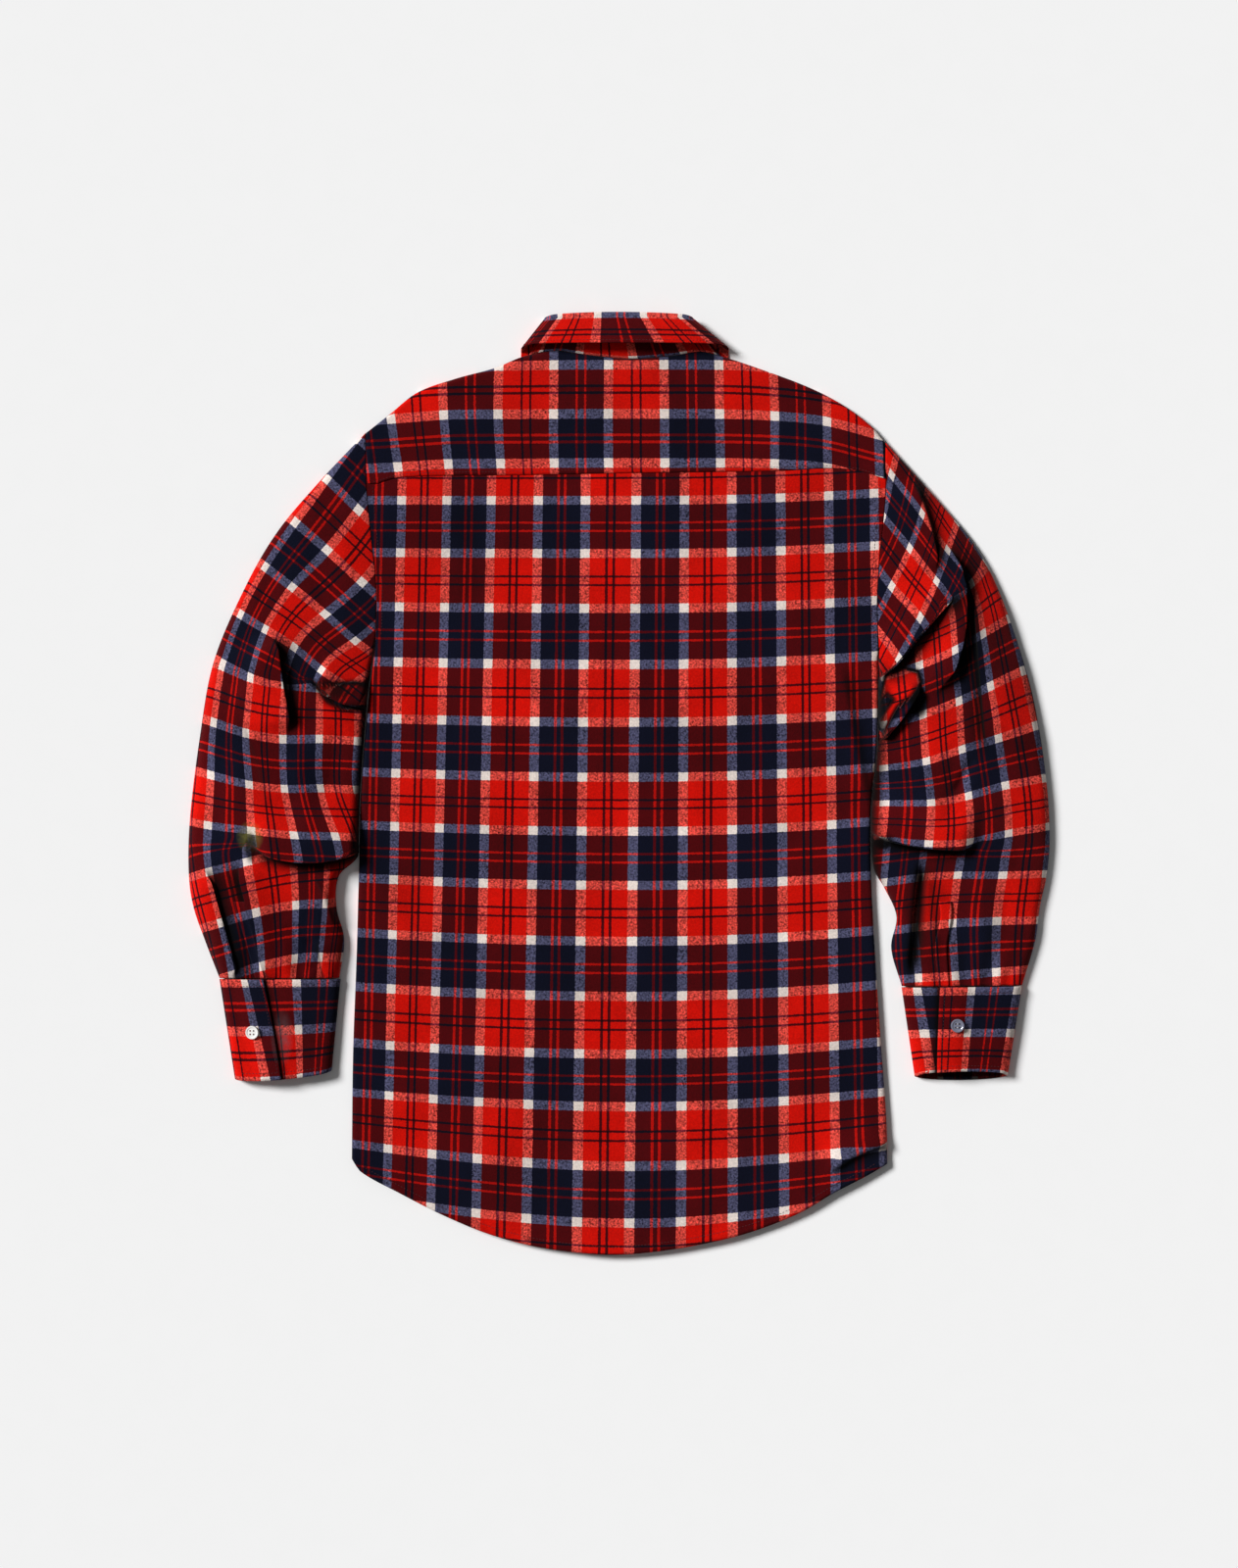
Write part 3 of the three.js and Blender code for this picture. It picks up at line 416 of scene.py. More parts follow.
def back_chart(x, y):
    px, py = to_photo(x, y)
    number = BACK_STRIPES["number"]
    upper = straight(px, BACK_STRIPES["upper"], number)
    lower = straight(px, BACK_STRIPES["lower"], number)
    down = (py - BACK_STRIPE_ROWS.upper) / (BACK_STRIPE_ROWS.lower - BACK_STRIPE_ROWS.upper)
    away = px - BACK_MIDDLE
    left, right = (np.interp(py, BACK_ROW_BOWS["py"], BACK_ROW_BOWS[side]) for side in AWAY)
    bow = np.where(away < 0, left, right)
    rows = straight(py + bow * away**2, BACK_ROWS["py"], BACK_ROWS["number"])
    return np.stack([mix(upper, lower, down), rows], -1)


def plain_chart(x, y):
    """The plaid of a piece that doesn't show, square to the shirt."""
    return np.stack(np.broadcast_arrays(x / WARP_PITCH, -y / WEFT_PITCH), -1)


LEAST_SQUARE = 1e-9
BEND_SHARE = 0.5e-3


class Lattice:
    """A smooth map from places on the shirt to stripe numbers, through crossings read off the photo."""

    def __init__(self, crossings, stiffness=2.0):
        self.at = np.stack(from_photo([row.px for row in crossings], [row.py for row in crossings]), -1)
        numbers = np.array([(row.warp, row.weft) for row in crossings], float)
        count = len(self.at)
        bend = self.bend(self.at) + stiffness * np.eye(count)
        plane = np.hstack([np.ones((count, 1)), self.at])
        system = np.block([[bend, plane], [plane.T, np.zeros((3, 3))]])
        solved = np.linalg.solve(system, np.vstack([numbers, np.zeros((3, 2))]))
        self.weights, self.plane = solved[:count], solved[count:]

    def bend(self, where):
        far = ((where[..., None, :] - self.at) ** 2).sum(-1)
        return far * np.log(np.maximum(far, LEAST_SQUARE)) * BEND_SHARE

    def __call__(self, x, y):
        where = np.stack([x, y], -1)
        return self.bend(where) @ self.weights + self.plane[0] + where @ self.plane[1:]


class Patchwork:
    """Lattices one below the other, which meet at partings, where a fold hides the cloth between."""

    def __init__(self, crossings, partings):
        self.partings = partings
        self.lattices = [
            Lattice([row for row in crossings.rows if abs(row.patch - patch) <= 0.5])
            for patch in range(1, len(partings) + 2)
        ]

    def __call__(self, x, y, seen_x, seen_y):
        """The stripes at a place, with the patch chosen before the folds lean over."""
        px, py = to_photo(x, y)
        stripes = self.lattices[0](seen_x, seen_y)
        for parting, lattice in zip(self.partings, self.lattices[1:]):
            edge = np.interp(px, parting["px"], parting["py"])
            soft = np.interp(px, parting["px"], parting["soft"])
            below = ease(-1, 1, (py - edge) / soft)[..., None]
            stripes = mix(stripes, lattice(seen_x, seen_y), below)
        return stripes


YOKE_CROSSINGS = Table(
    "px py warp weft",
    (398, 429, 3, 0), (452, 423, 3, 1), (507, 423, 3, 2), (565, 423, 3, 3), (620, 423, 3, 4),
    (678, 423, 3, 5), (733, 423, 3, 6), (791, 426, 3, 7), (843, 429.5, 3, 8), (895, 447, 3, 9),
    (408, 477, 4, 0), (457, 473.5, 4, 1), (511, 474, 4, 2), (565, 473, 4, 3), (620, 473, 4, 4),
    (678, 473, 4, 5), (735, 473, 4, 6), (789, 474, 4, 7), (844, 475.5, 4, 8), (510, 374.5, 2, 2),
    (565, 373, 2, 3), (733, 373, 2, 6), (788, 375, 2, 7),
)
# Crossings on the sleeves. Patches are numbered from the shoulder down, and a half is shared by the
# patch before it and the one after.
SLEEVE_CROSSINGS = {
    "left": Table(
        "px py warp weft patch",
        (334, 487, 1, 0, 1), (301, 533, 1, 1, 1), (273, 580, 1, 2, 1), (249, 630, 1, 3, 1),
        (231, 679, 1, 4, 1.5), (221, 736, 1, 5, 2), (217, 789, 1, 6, 2), (211, 844, 1, 7, 2.5),
        (213, 887, 1, 8, 2.5), (228, 942, 1, 9, 3), (242, 995, 1, 10, 3), (366, 522, 2, 0, 1),
        (335, 561, 2, 1, 1), (296, 597, 2, 2, 1), (267, 641, 2, 3, 1), (255, 694, 2, 4, 1.5),
        (248, 749, 2, 5, 2), (261, 802, 2, 6, 2), (259, 845, 2, 7, 2), (249, 880, 2, 8, 3),
        (261, 931, 2, 9, 3), (265, 984, 2, 10, 3), (373, 597, 3, 1, 1), (335, 629, 3, 2, 1),
        (298, 655, 3, 3, 1), (296, 699, 3, 4, 1.5), (292, 757, 3, 5, 2), (288, 807, 3, 6, 2),
        (304, 853, 3, 7, 2), (304, 866, 3, 8, 3), (308, 921, 3, 9, 3), (308, 974, 3, 10, 3),
        (366, 664, 4, 2, 1), (323, 695, 4, 3, 1), (324, 703, 4, 4, 2), (328, 751, 4, 5, 2),
        (329, 802, 4, 6, 2), (350, 852, 4, 7, 2), (331, 925, 4, 9, 3), (330, 973, 4, 10, 3),
        (353, 688, 5, 3, 1), (369, 757, 5, 5, 2), (354, 806, 5, 6, 2), (345, 980, 5, 10, 3),
    ),
    "right": Table(
        "px py warp weft patch",
        (907, 482, 1, -3, 1), (903, 532, 2, -3, 1), (941, 524, 1, -2, 1), (928, 556, 2, -2, 1),
        (905, 601, 3, -2, 1), (964, 562, 1, -1, 1), (958, 594, 2, -1, 1), (940, 631, 3, -1, 1),
        (914, 674, 4, -1, 1), (974, 531, 0, -1, 1), (1007, 579, 0, 0, 1.5), (990, 590, 1, 0, 1.5),
        (976, 623, 2, 0, 1.5), (1029, 630, 0, 1, 2), (997, 645, 1, 1, 2), (973, 662, 2, 1, 2),
        (935, 679, 3, 1, 2), (1045, 683, 0, 2, 2), (1003, 701, 1, 2, 2), (982, 716, 2, 2, 2),
        (941, 729, 3, 2, 2), (1057, 740, 0, 3, 2), (1015, 756, 1, 3, 2), (977, 762, 2, 3, 2),
        (944, 779, 3, 3, 2), (899, 788, 4, 3, 2), (1068, 795, 0, 4, 2), (1022, 798, 1, 4, 2),
        (953, 820, 3, 4, 2), (904, 816, 4, 4, 2), (1071, 844, 0, 5, 2.5), (1027, 849, 1, 5, 2.5),
        (988, 862, 2, 5, 2), (945, 861, 3, 5, 2), (894, 854, 4, 5, 2), (1024, 893, 1, 6, 2.5),
        (972, 892, 2, 6, 3), (941, 893, 3, 6, 3), (901, 901, 4, 6, 3), (1016, 938, 1, 7, 3),
        (967, 940, 2, 7, 3), (932, 947, 3, 7, 3), (1016, 991, 1, 8, 3), (972, 997, 2, 8, 3),
        (939, 996, 3, 8, 3),
    ),
}

# Where the patches meet, as places before the folds lean over, with half the width of the change
PARTINGS = {
    "left": (
        Table(
            "px py soft", (200, 670, 14), (255, 692, 12), (300, 697, 5), (318, 694, 2), (335, 707, 2),
            (350, 714, 2), (390, 715, 2),
        ),
        Table(
            "px py soft", (190, 862, 16), (235, 862, 10), (255, 861, 4), (275, 866, 2), (290, 870, 2),
            (320, 873, 2), (345, 869, 2), (368, 858, 2),
        ),
    ),
    "right": (
        Table(
            "px py soft", (887, 705, 2), (906, 675, 2), (924, 659, 2), (939, 635, 2), (954, 613, 2),
            (974, 599, 3), (1000, 585, 14), (1030, 570, 14),
        ),
        Table(
            "px py soft", (880, 847, 2), (913, 849, 2), (930, 856, 2), (950, 860, 2), (985, 859, 3),
            (1005, 862, 12), (1080, 868, 16),
        ),
    ),
}

# A tuck of cloth that shows between two folds, outlined in pixels of the photograph, how far its
# stripe numbers are past those around it, and painted shade in the hollows beside it
TUCK_STRIPES = {"left": (0.5, 1.5), "right": (1, 1)}
TUCKS = {
    "left": Table(
        "px py", (323, 699), (334, 700), (348, 698), (362, 697), (378, 700), (378, 724), (350, 723),
        (335, 716),
    ),
    "right": Table(
        "px py", (897, 715), (902, 692), (908, 685), (918, 681), (935, 686), (939, 697), (928, 712),
        (914, 722), (903, 742), (898, 756), (895, 740), (903, 724), (910, 714), (904, 708),
    ),
}
# Painted shade along the tuck's outline, and how far each hollow's painted shade reaches outside and inside
# its oval
TUCK_OUTLINE_SHADE = Place(width=3, dark=0.9)
HOLLOW_SHADES = {
    "left": Table("px py wide tall dark", (344, 706, 19, 7, 0.5), (258, 865, 6, 14, 0.6)),
    "right": Table(
        "px py wide tall dark", (897, 722, 8, 13, 0.9), (936, 716, 9, 17, 0.9), (899, 860, 12, 7, 0.9),
    ),
}
HOLLOW_SHADE_EDGE = Place(outside=1.3, inside=0.6)
FAR_OFF = 99


def tuck_reach(side, shown):
    """Pixels from a place to the outline of the tuck, less than 0 inside it."""
    px, py = to_photo(*xy(shown))
    corners = [(row.px, row.py) for row in TUCKS[side].rows]
    reach = 0 * px + FAR_OFF
    inside = np.zeros(px.shape, bool)
    for (ax, ay), (bx, by) in zip(corners, corners[1:] + corners[:1]):
        square = (bx - ax) ** 2 + (by - ay) ** 2
        along = np.clip(((px - ax) * (bx - ax) + (py - ay) * (by - ay)) / square, 0, 1)
        reach = np.minimum(reach, np.hypot(px - mix(ax, bx, along), py - mix(ay, by, along)))
        if ay != by:
            inside ^= ((ay > py) != (by > py)) & (px < ax + (py - ay) * (bx - ax) / (by - ay))
    return np.where(inside, -reach, reach)


def tuck_shade(side, shown):
    """How dark the painted shade along the tuck's outline and in the hollows is."""
    px, py = to_photo(*xy(shown))
    shade = TUCK_OUTLINE_SHADE.dark * gaussian(tuck_reach(side, shown), TUCK_OUTLINE_SHADE.width)
    for spot in HOLLOW_SHADES[side].rows:
        away = np.hypot((px - spot.px) / spot.wide, (py - spot.py) / spot.tall)
        shade = np.maximum(shade, spot.dark * ease(HOLLOW_SHADE_EDGE.outside, HOLLOW_SHADE_EDGE.inside, away))
    return shade


# Cuffs: distances along the band to two white stripes, from its upper end and, beneath, from its inner
# edge, with their numbers, the rows down the cuff, and how far the stripes lean over its height
CUFF_CHART = {
    "left": Place(top=20.5, top_number=0, under=27, under_number=4, first_row=0.03, row_pitch=41.5, row=1,
                  top_lean=-8, under_lean=0),
    "right": Place(top=27.7, top_number=1, under=5, under_number=5, first_row=0.04, row_pitch=37, row=1,
                   top_lean=0, under_lean=8),
}

# Cloth meshes, with how many cells each stretch of cloth has

WELD_REACH = 1e-6
CELLS = Place(
    edge=4, body=150, back=220, yoke=40, neck=16, front=30, front_down=90, strip=8,
    sleeve_under=14, sleeve_outer=10, sleeve_top=104, sleeve_inner=10, sleeve_down=230,
    placket=6, placket_down=40, cuff=(26, 8, 20, 8, 26), cuff_down=36, collar=190, stand=12, roll=12, leaf=24,
)


def finished(name, shaped):
    mesh = bpy.data.meshes.new(name)
    shaped.to_mesh(mesh)
    shaped.free()
    return mesh


def grid_mesh(name, us, vs, point, chart, facing=1, welded=False, shade=None):
    """A grid of cloth laid on a shape. point(u, v) gives places in millimetres, chart(u, v) the stripe
    numbers there, and shade(u, v) how dark the painted shade in its creases is. The outer face looks
    along u x v, or the other way where facing is -1."""
    shaped = bmesh.new()
    bmesh.ops.create_grid(shaped, x_segments=len(us) - 1, y_segments=len(vs) - 1, size=1)
    corner = np.array([vert.co[:2] for vert in shaped.verts])
    column = np.rint((corner[:, 0] + 1) / 2 * (len(us) - 1)).astype(int)
    row = np.rint((corner[:, 1] + 1) / 2 * (len(vs) - 1)).astype(int)
    if facing < 0:
        bmesh.ops.reverse_faces(shaped, faces=shaped.faces[:])
    u, v = np.meshgrid(us, vs)
    place = point(u, v)[row, column] * MM
    stripes = chart(u, v)[row, column]
    # How dark the painted shade is at each vertex, which darkens the cloth's colour
    dark = (shade(u, v) if shade else 0 * u)[row, column]
    crease = shaped.verts.layers.float.new("PaintedCreaseShade")
    for vert, spot, depth in zip(shaped.verts, place, dark):
        vert.co = spot
        vert[crease] = depth
    layer = shaped.loops.layers.uv.new("Plaid")
    for face in shaped.faces:
        face.smooth = True
        for loop in face.loops:
            loop[layer].uv = stripes[loop.vert.index]
    if welded:
        last = len(us) - 1
        ends = [vert for vert, at in zip(shaped.verts, column) if at in (0, last)]
        bmesh.ops.remove_doubles(shaped, verts=ends, dist=WELD_REACH)
    return finished(name, shaped)


def placed(name, data):
    made = bpy.data.objects.new(name, data)
    bpy.context.scene.collection.objects.link(made)
    return made


def cloth_piece(name, mesh, material, nodes, thickness):
    piece = placed(name, mesh)
    mesh.materials.append(material)
    wall = piece.modifiers.new("Cloth thickness", "SOLIDIFY")
    wall.thickness = thickness
    wall.offset = -1
    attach(piece, "root")
    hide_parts(*nodes)
    return piece


# Body


def settled(u, v, x_of, top_of, bottom_of):
    """A point of a panel whose sides and ends depend on each other, found in a few rounds."""
    y = mix(top_of(CENTRE_X), bottom_of(CENTRE_X), v)
    for _ in range(SETTLING_ROUNDS):
        x = x_of(y)
        y = mix(top_of(x), bottom_of(x), v)
    return x, y


def back_place(u, v):
    def x_of(y, opened=False):
        left = side_x["left"](y)
        at, _, flat = turned(u, side_x["right"](y) - left, EDGE_RADIUS)
        return left + (flat if opened else at)

    x, y = settled(u, v, x_of, lambda px: yoke_seam_y(px) - SEAM / 2, hem_y)
    return x, y, x_of(y, True)


# First guesses of where a point lies, before it settles
FIRST_Y = Place(yoke=300.0, front=200.0)

HEM_BAND = 7
HEM_EDGE = Place(outside=1.2, inside=0.6)
HEM_HEIGHT = 0.55
HEM_PUCKER = Place(height=0.22, turns=0.52, reach=4)
YOKE_LAP = 1.2
YOKE_RISE = 0.8
YOKE_FOLD = 9
YOKE_FULL = 1.5
YOKE_PUCKER = Place(height=0.12, turns=0.6)
SHOULDER_TURN = Place(start=14, end=1)


def hem_relief(x, y, edge_y):
    """The rolled hem: a low band along the edge, drawn in a little between its stitches."""
    inside = np.abs(y - edge_y)
    band = HEM_HEIGHT * ease(HEM_BAND + HEM_EDGE.outside, HEM_BAND - HEM_EDGE.inside, inside)
    pucker = HEM_PUCKER.height * np.sin(x * HEM_PUCKER.turns)
    return band + pucker * gaussian(inside - HEM_BAND, HEM_PUCKER.reach)


def back_point(u, v):
    x, y, _ = back_place(u, v)
    _, lift, _ = turned(u, 1, 0)
    fold = np.where(u < 0.5, side_fold("left", y), side_fold("right", y))
    height = np.maximum(top_height("back", x, y), LOWEST_TOP) + hem_relief(x, y, hem_y(x))
    z = mix(EDGE_HEIGHT, height, 1 - fold * (1 - lift))
    return points(*leaned("back", x, y), z)


# Painted shade in the valleys under the back's folds
def back_shade(u, v):
    x, y, _ = back_place(u, v)
    return valley_shade("back", x, y, *leaned("back", x, y))


def back_plaid(u, v):
    _, y, flat = back_place(u, v)
    return back_chart(flat, y)


def shoulder_fold(x):
    inside = NECK.half_width - np.abs(x - NECK.x)
    return ease(SHOULDER_TURN.start, SHOULDER_TURN.end, inside)


def yoke_place(u, v):
    def x_of(y):
        return mix(side_x["left"](y), side_x["right"](y), u)

    y = np.full(np.shape(u), FIRST_Y.yoke)
    x = x_of(y)
    for _ in range(SETTLING_ROUNDS):
        top = shoulder_y(x)
        at, lift, flat = turned(v, top - yoke_seam_y(x) - SEAM / 2 + EDGE_RADIUS + YOKE_LAP, EDGE_RADIUS)
        y = top - at
        x = x_of(y)
    return x, y, lift, top - flat


def yoke_point(u, v):
    x, y, lift, _ = yoke_place(u, v)
    inside = y - yoke_seam_y(x)
    pucker = YOKE_PUCKER.height * np.sin(x * YOKE_PUCKER.turns) * ease(YOKE_FOLD, 0, inside)
    raised = YOKE_RISE * ease(YOKE_FOLD, YOKE_FULL, inside) + pucker
    z = mix(EDGE_HEIGHT, top_height("back", x, y) + raised, 1 - shoulder_fold(x) * (1 - lift))
    return points(x, y, z)


yoke_lattice = Lattice(YOKE_CROSSINGS.rows)


def yoke_plaid(u, v):
    x, _, _, flat = yoke_place(u, v)
    return yoke_lattice(x, flat)


def neck_reach(x, y):
    return np.hypot((x - NECK.x) / NECK.half_width, np.minimum(y - NECK.y, 0) / NECK.depth)


def neckline_y(x):
    share = (x - NECK.x) / NECK.half_width
    curve = NECK.y - NECK.depth * np.sqrt(np.maximum(1 - share * share, 0))
    return np.where(np.abs(share) < 1, curve, shoulder_y(x))


def front_height(side, x, y):
    out = AWAY[side] * (x - CENTRE_X)
    flat_to, height = (PLACKET_HALF, PLACKET_Z) if side == "left" else (UNDERLAP_FLAT, UNDERLAP_Z)
    centre = height * ease(FRONT_RAMP, flat_to, out)
    return np.maximum(centre, NECK.lift * ease(NECK.fade_to, NECK.lift_to, neck_reach(x, y)))


NECK_SIDES = {side: NECK.x + away * NECK.half_width for side, away in AWAY.items()}


def front_point(side, u, v):
    """Half of the front. u is the distance before the side of the neck where it is under 0, then runs to
    the side of the body (1) and round its edge (2). v runs from round the shoulder edge to the hem."""
    turn = np.maximum(u - 1, 0) * math.pi / 2
    reach = EDGE_RADIUS * (1 - np.sin(turn))
    neck_x = NECK_SIDES[side] - AWAY[side] * np.maximum(-u, 0)

    def x_of(y):
        return mix(neck_x, side_x[side](y) - AWAY[side] * reach, np.clip(u, 0, 1))

    y = np.full(np.shape(u), FIRST_Y.front)
    x = x_of(y)
    for _ in range(SETTLING_ROUNDS):
        top = neckline_y(x)
        at, top_lift, _ = turned(v, top - hem_y(x) - HEM_STEP + EDGE_RADIUS, EDGE_RADIUS)
        y = top - at
        x = x_of(y)
    edge = EDGE_HEIGHT - SEAM / 2
    side_turn = side_fold(side, y) * (1 - np.cos(turn))
    top_turn = np.where(np.abs(x - NECK.x) < NECK.half_width, 0, 1 - top_lift)
    return points(x, y, mix(front_height(side, x, y), edge, np.maximum(side_turn, top_turn)))


def front_plaid(side, u, v):
    return plain_chart(*xy(front_point(side, u, v)))


def placket_point(u, v):
    x = CENTRE_X + u
    return points(x, mix(neckline_y(x) - SEAM, hem_y(x) + HEM_STEP, v), PLACKET_Z + 0 * u)


def placket_plaid(u, v):
    return plain_chart(*xy(placket_point(u, v)))


# Sleeves

# A sleeve's columns and rows, and the first row of the placket, which is one column wide
SLEEVE_COLUMNS = 11
SLEEVE_ROWS = 23
PLACKET_ROW = 18
PLACKET_RISE = 1.6


class Sleeve:
    """A sleeve laid flat. q goes back underneath from the inner edge (-3 to -2), up round the outer edge
    (-2 to 0), over the top (0 to 1) and down round the inner edge (1 to 3). t runs down the sleeve."""

    EDGE_INSIDE = 3
    EDGE_STRIDE = 24
    ROOM = 0.2
    SEAM_BLEND = 0.2
    FREE = Place(seam=(0, 0.12), cuff=(1, 0.97))
    GATHERS = Place(height=0.9, turns=34, start=0.7, outer=(0.03, 0.15), inner=(1, 0.85), cuff=(0.86, 0.99))
    # Painted shadow along the body where the sleeve lies close beside it: how far it reaches on each side,
    # how dark it is, and where it starts and is full below the underarm
    BESIDE_SHADOW_REACH = {"left": 4, "right": 8}
    BESIDE_SHADOW_DARK = 0.9
    BESIDE_SHADOW_START = 5
    BESIDE_SHADOW_FULL = -30

    def __init__(self, side):
        self.side = side
        table = SLEEVES[side]
        self.last = len(table.rows) - 1
        self.column = {name: table.curve("at", name) for name in table.names[1:]}
        self.panel = f"sleeve_{side}"
        self.stripes = Patchwork(SLEEVE_CROSSINGS[side], PARTINGS[side])

    def section(self, t):
        at = t * self.last
        y = self.column["inner_y"](at)
        away = AWAY[self.side]
        gap = mix(SEAM, BESIDE_GAP, np.minimum(at, 1)) + np.maximum(self.column["clear"](at), 0)
        outer = np.stack([self.column["outer_x"](at) + away * SEAM * np.maximum(1 - at, 0),
                          self.column["outer_y"](at)], -1)
        inner = np.stack([side_x[self.side](y) + away * gap, y], -1)
        return outer, inner, np.maximum(self.column["rise"](at), 0), np.maximum(1 - at, 0) ** 2

    def spot(self, q, t):
        """Place across the sleeve, seen from above, with its height and its distance opened flat."""
        outer, inner, rise, seam_share = self.section(t)
        width = np.linalg.norm(inner - outer, axis=-1)
        above = (q >= -1) & (q <= 2)
        folded = np.where(q < -1, -2 - q, 4 - q)
        place = np.where(above, q, folded)
        at, lift, flat = turned(place, width, SLEEVE_RADIUS)
        lowest = SLEEVE_RADIUS * (1 - math.pi / 2)
        beneath = np.where(q < -1, 2 * lowest - flat, 2 * (width - lowest) - flat)
        opened = np.where(above, flat, beneath)
        across = (inner - outer) / width[..., None]
        spot = outer + across * at[..., None]
        share = at / width
        pulled = side_x[self.side](spot[..., 1]) + AWAY[self.side] * SEAM - spot[..., 0]
        pulled = pulled * seam_share * ease(0, self.SEAM_BLEND, share)
        spot = spot + np.stack([pulled, 0 * pulled], -1)
        puff = rise * np.sqrt(np.maximum(4 * share * (1 - share), 0))
        height = top_height(self.panel, *xy(spot)) + puff + self.gathers(share, t)
        height = np.maximum(height, LOWEST_TOP + self.ROOM * puff)
        z = np.where(above, mix(EDGE_HEIGHT, height, lift), EDGE_HEIGHT * (1 - lift))
        return spot, z, above, opened, across, outer, width, pulled

    def gathers(self, share, t):
        """Small gathers where the sleeve is set into its cuff."""
        sizes = self.GATHERS
        between = ease(*sizes.outer, share) * ease(*sizes.inner, share)
        return sizes.height * ease(*sizes.cuff, t) * np.sin(share * sizes.turns + sizes.start) * between

    def seen(self, spot, t):
        """Where a place across the sleeve shows once its folds lean over."""
        free = (ease(*self.FREE.seam, t) * ease(*self.FREE.cuff, t))[..., None]
        return mix(spot, np.stack(leaned(self.panel, *xy(spot)), -1), free)

    def point(self, q, t):
        spot, z, above, *_ = self.spot(q, t)
        return points(*xy(np.where(above[..., None], self.seen(spot, t), spot)), z)

    def shade(self, q, t):
        """Painted shade in the valleys under the folds and round the tuck, and painted shadow along the body
        where the sleeve lies close beside it.
        """
        spot, _, above, *_ = self.spot(q, t)
        shown = self.seen(spot, t)
        x, y = xy(shown)
        outside = np.maximum(AWAY[self.side] * (x - side_x[self.side](y)), 0)
        below = ease(self.BESIDE_SHADOW_START, self.BESIDE_SHADOW_FULL, y - UNDERARM[self.side])
        beside = self.BESIDE_SHADOW_DARK * gaussian(outside, self.BESIDE_SHADOW_REACH[self.side]) * below
        shades = (valley_shade(self.panel, *xy(spot), x, y), beside, tuck_shade(self.side, shown))
        return np.where(above, np.maximum.reduce(shades), 0)

    def plaid(self, q, t):
        _, _, _, opened, across, outer, width, pulled = self.spot(q, t)
        inside = np.clip(opened, self.EDGE_INSIDE, width - self.EDGE_INSIDE)
        spot = outer + across * inside[..., None] + np.stack([pulled, 0 * pulled], -1)
        stripes = self.stripes_at(spot, t)
        beyond = opened - inside
        stride = np.where(beyond < 0, self.EDGE_STRIDE, -self.EDGE_STRIDE)
        slope = (self.stripes_at(spot + across * stride[..., None], t) - stripes) / stride[..., None]
        return stripes + slope * beyond[..., None]

    def stripes_at(self, spot, t):
        shown = self.seen(spot, t)
        inside = (tuck_reach(self.side, shown) < 0)[..., None]
        return self.stripes(*xy(spot), *xy(shown)) + np.array(TUCK_STRIPES[self.side]) * inside


# Cuffs


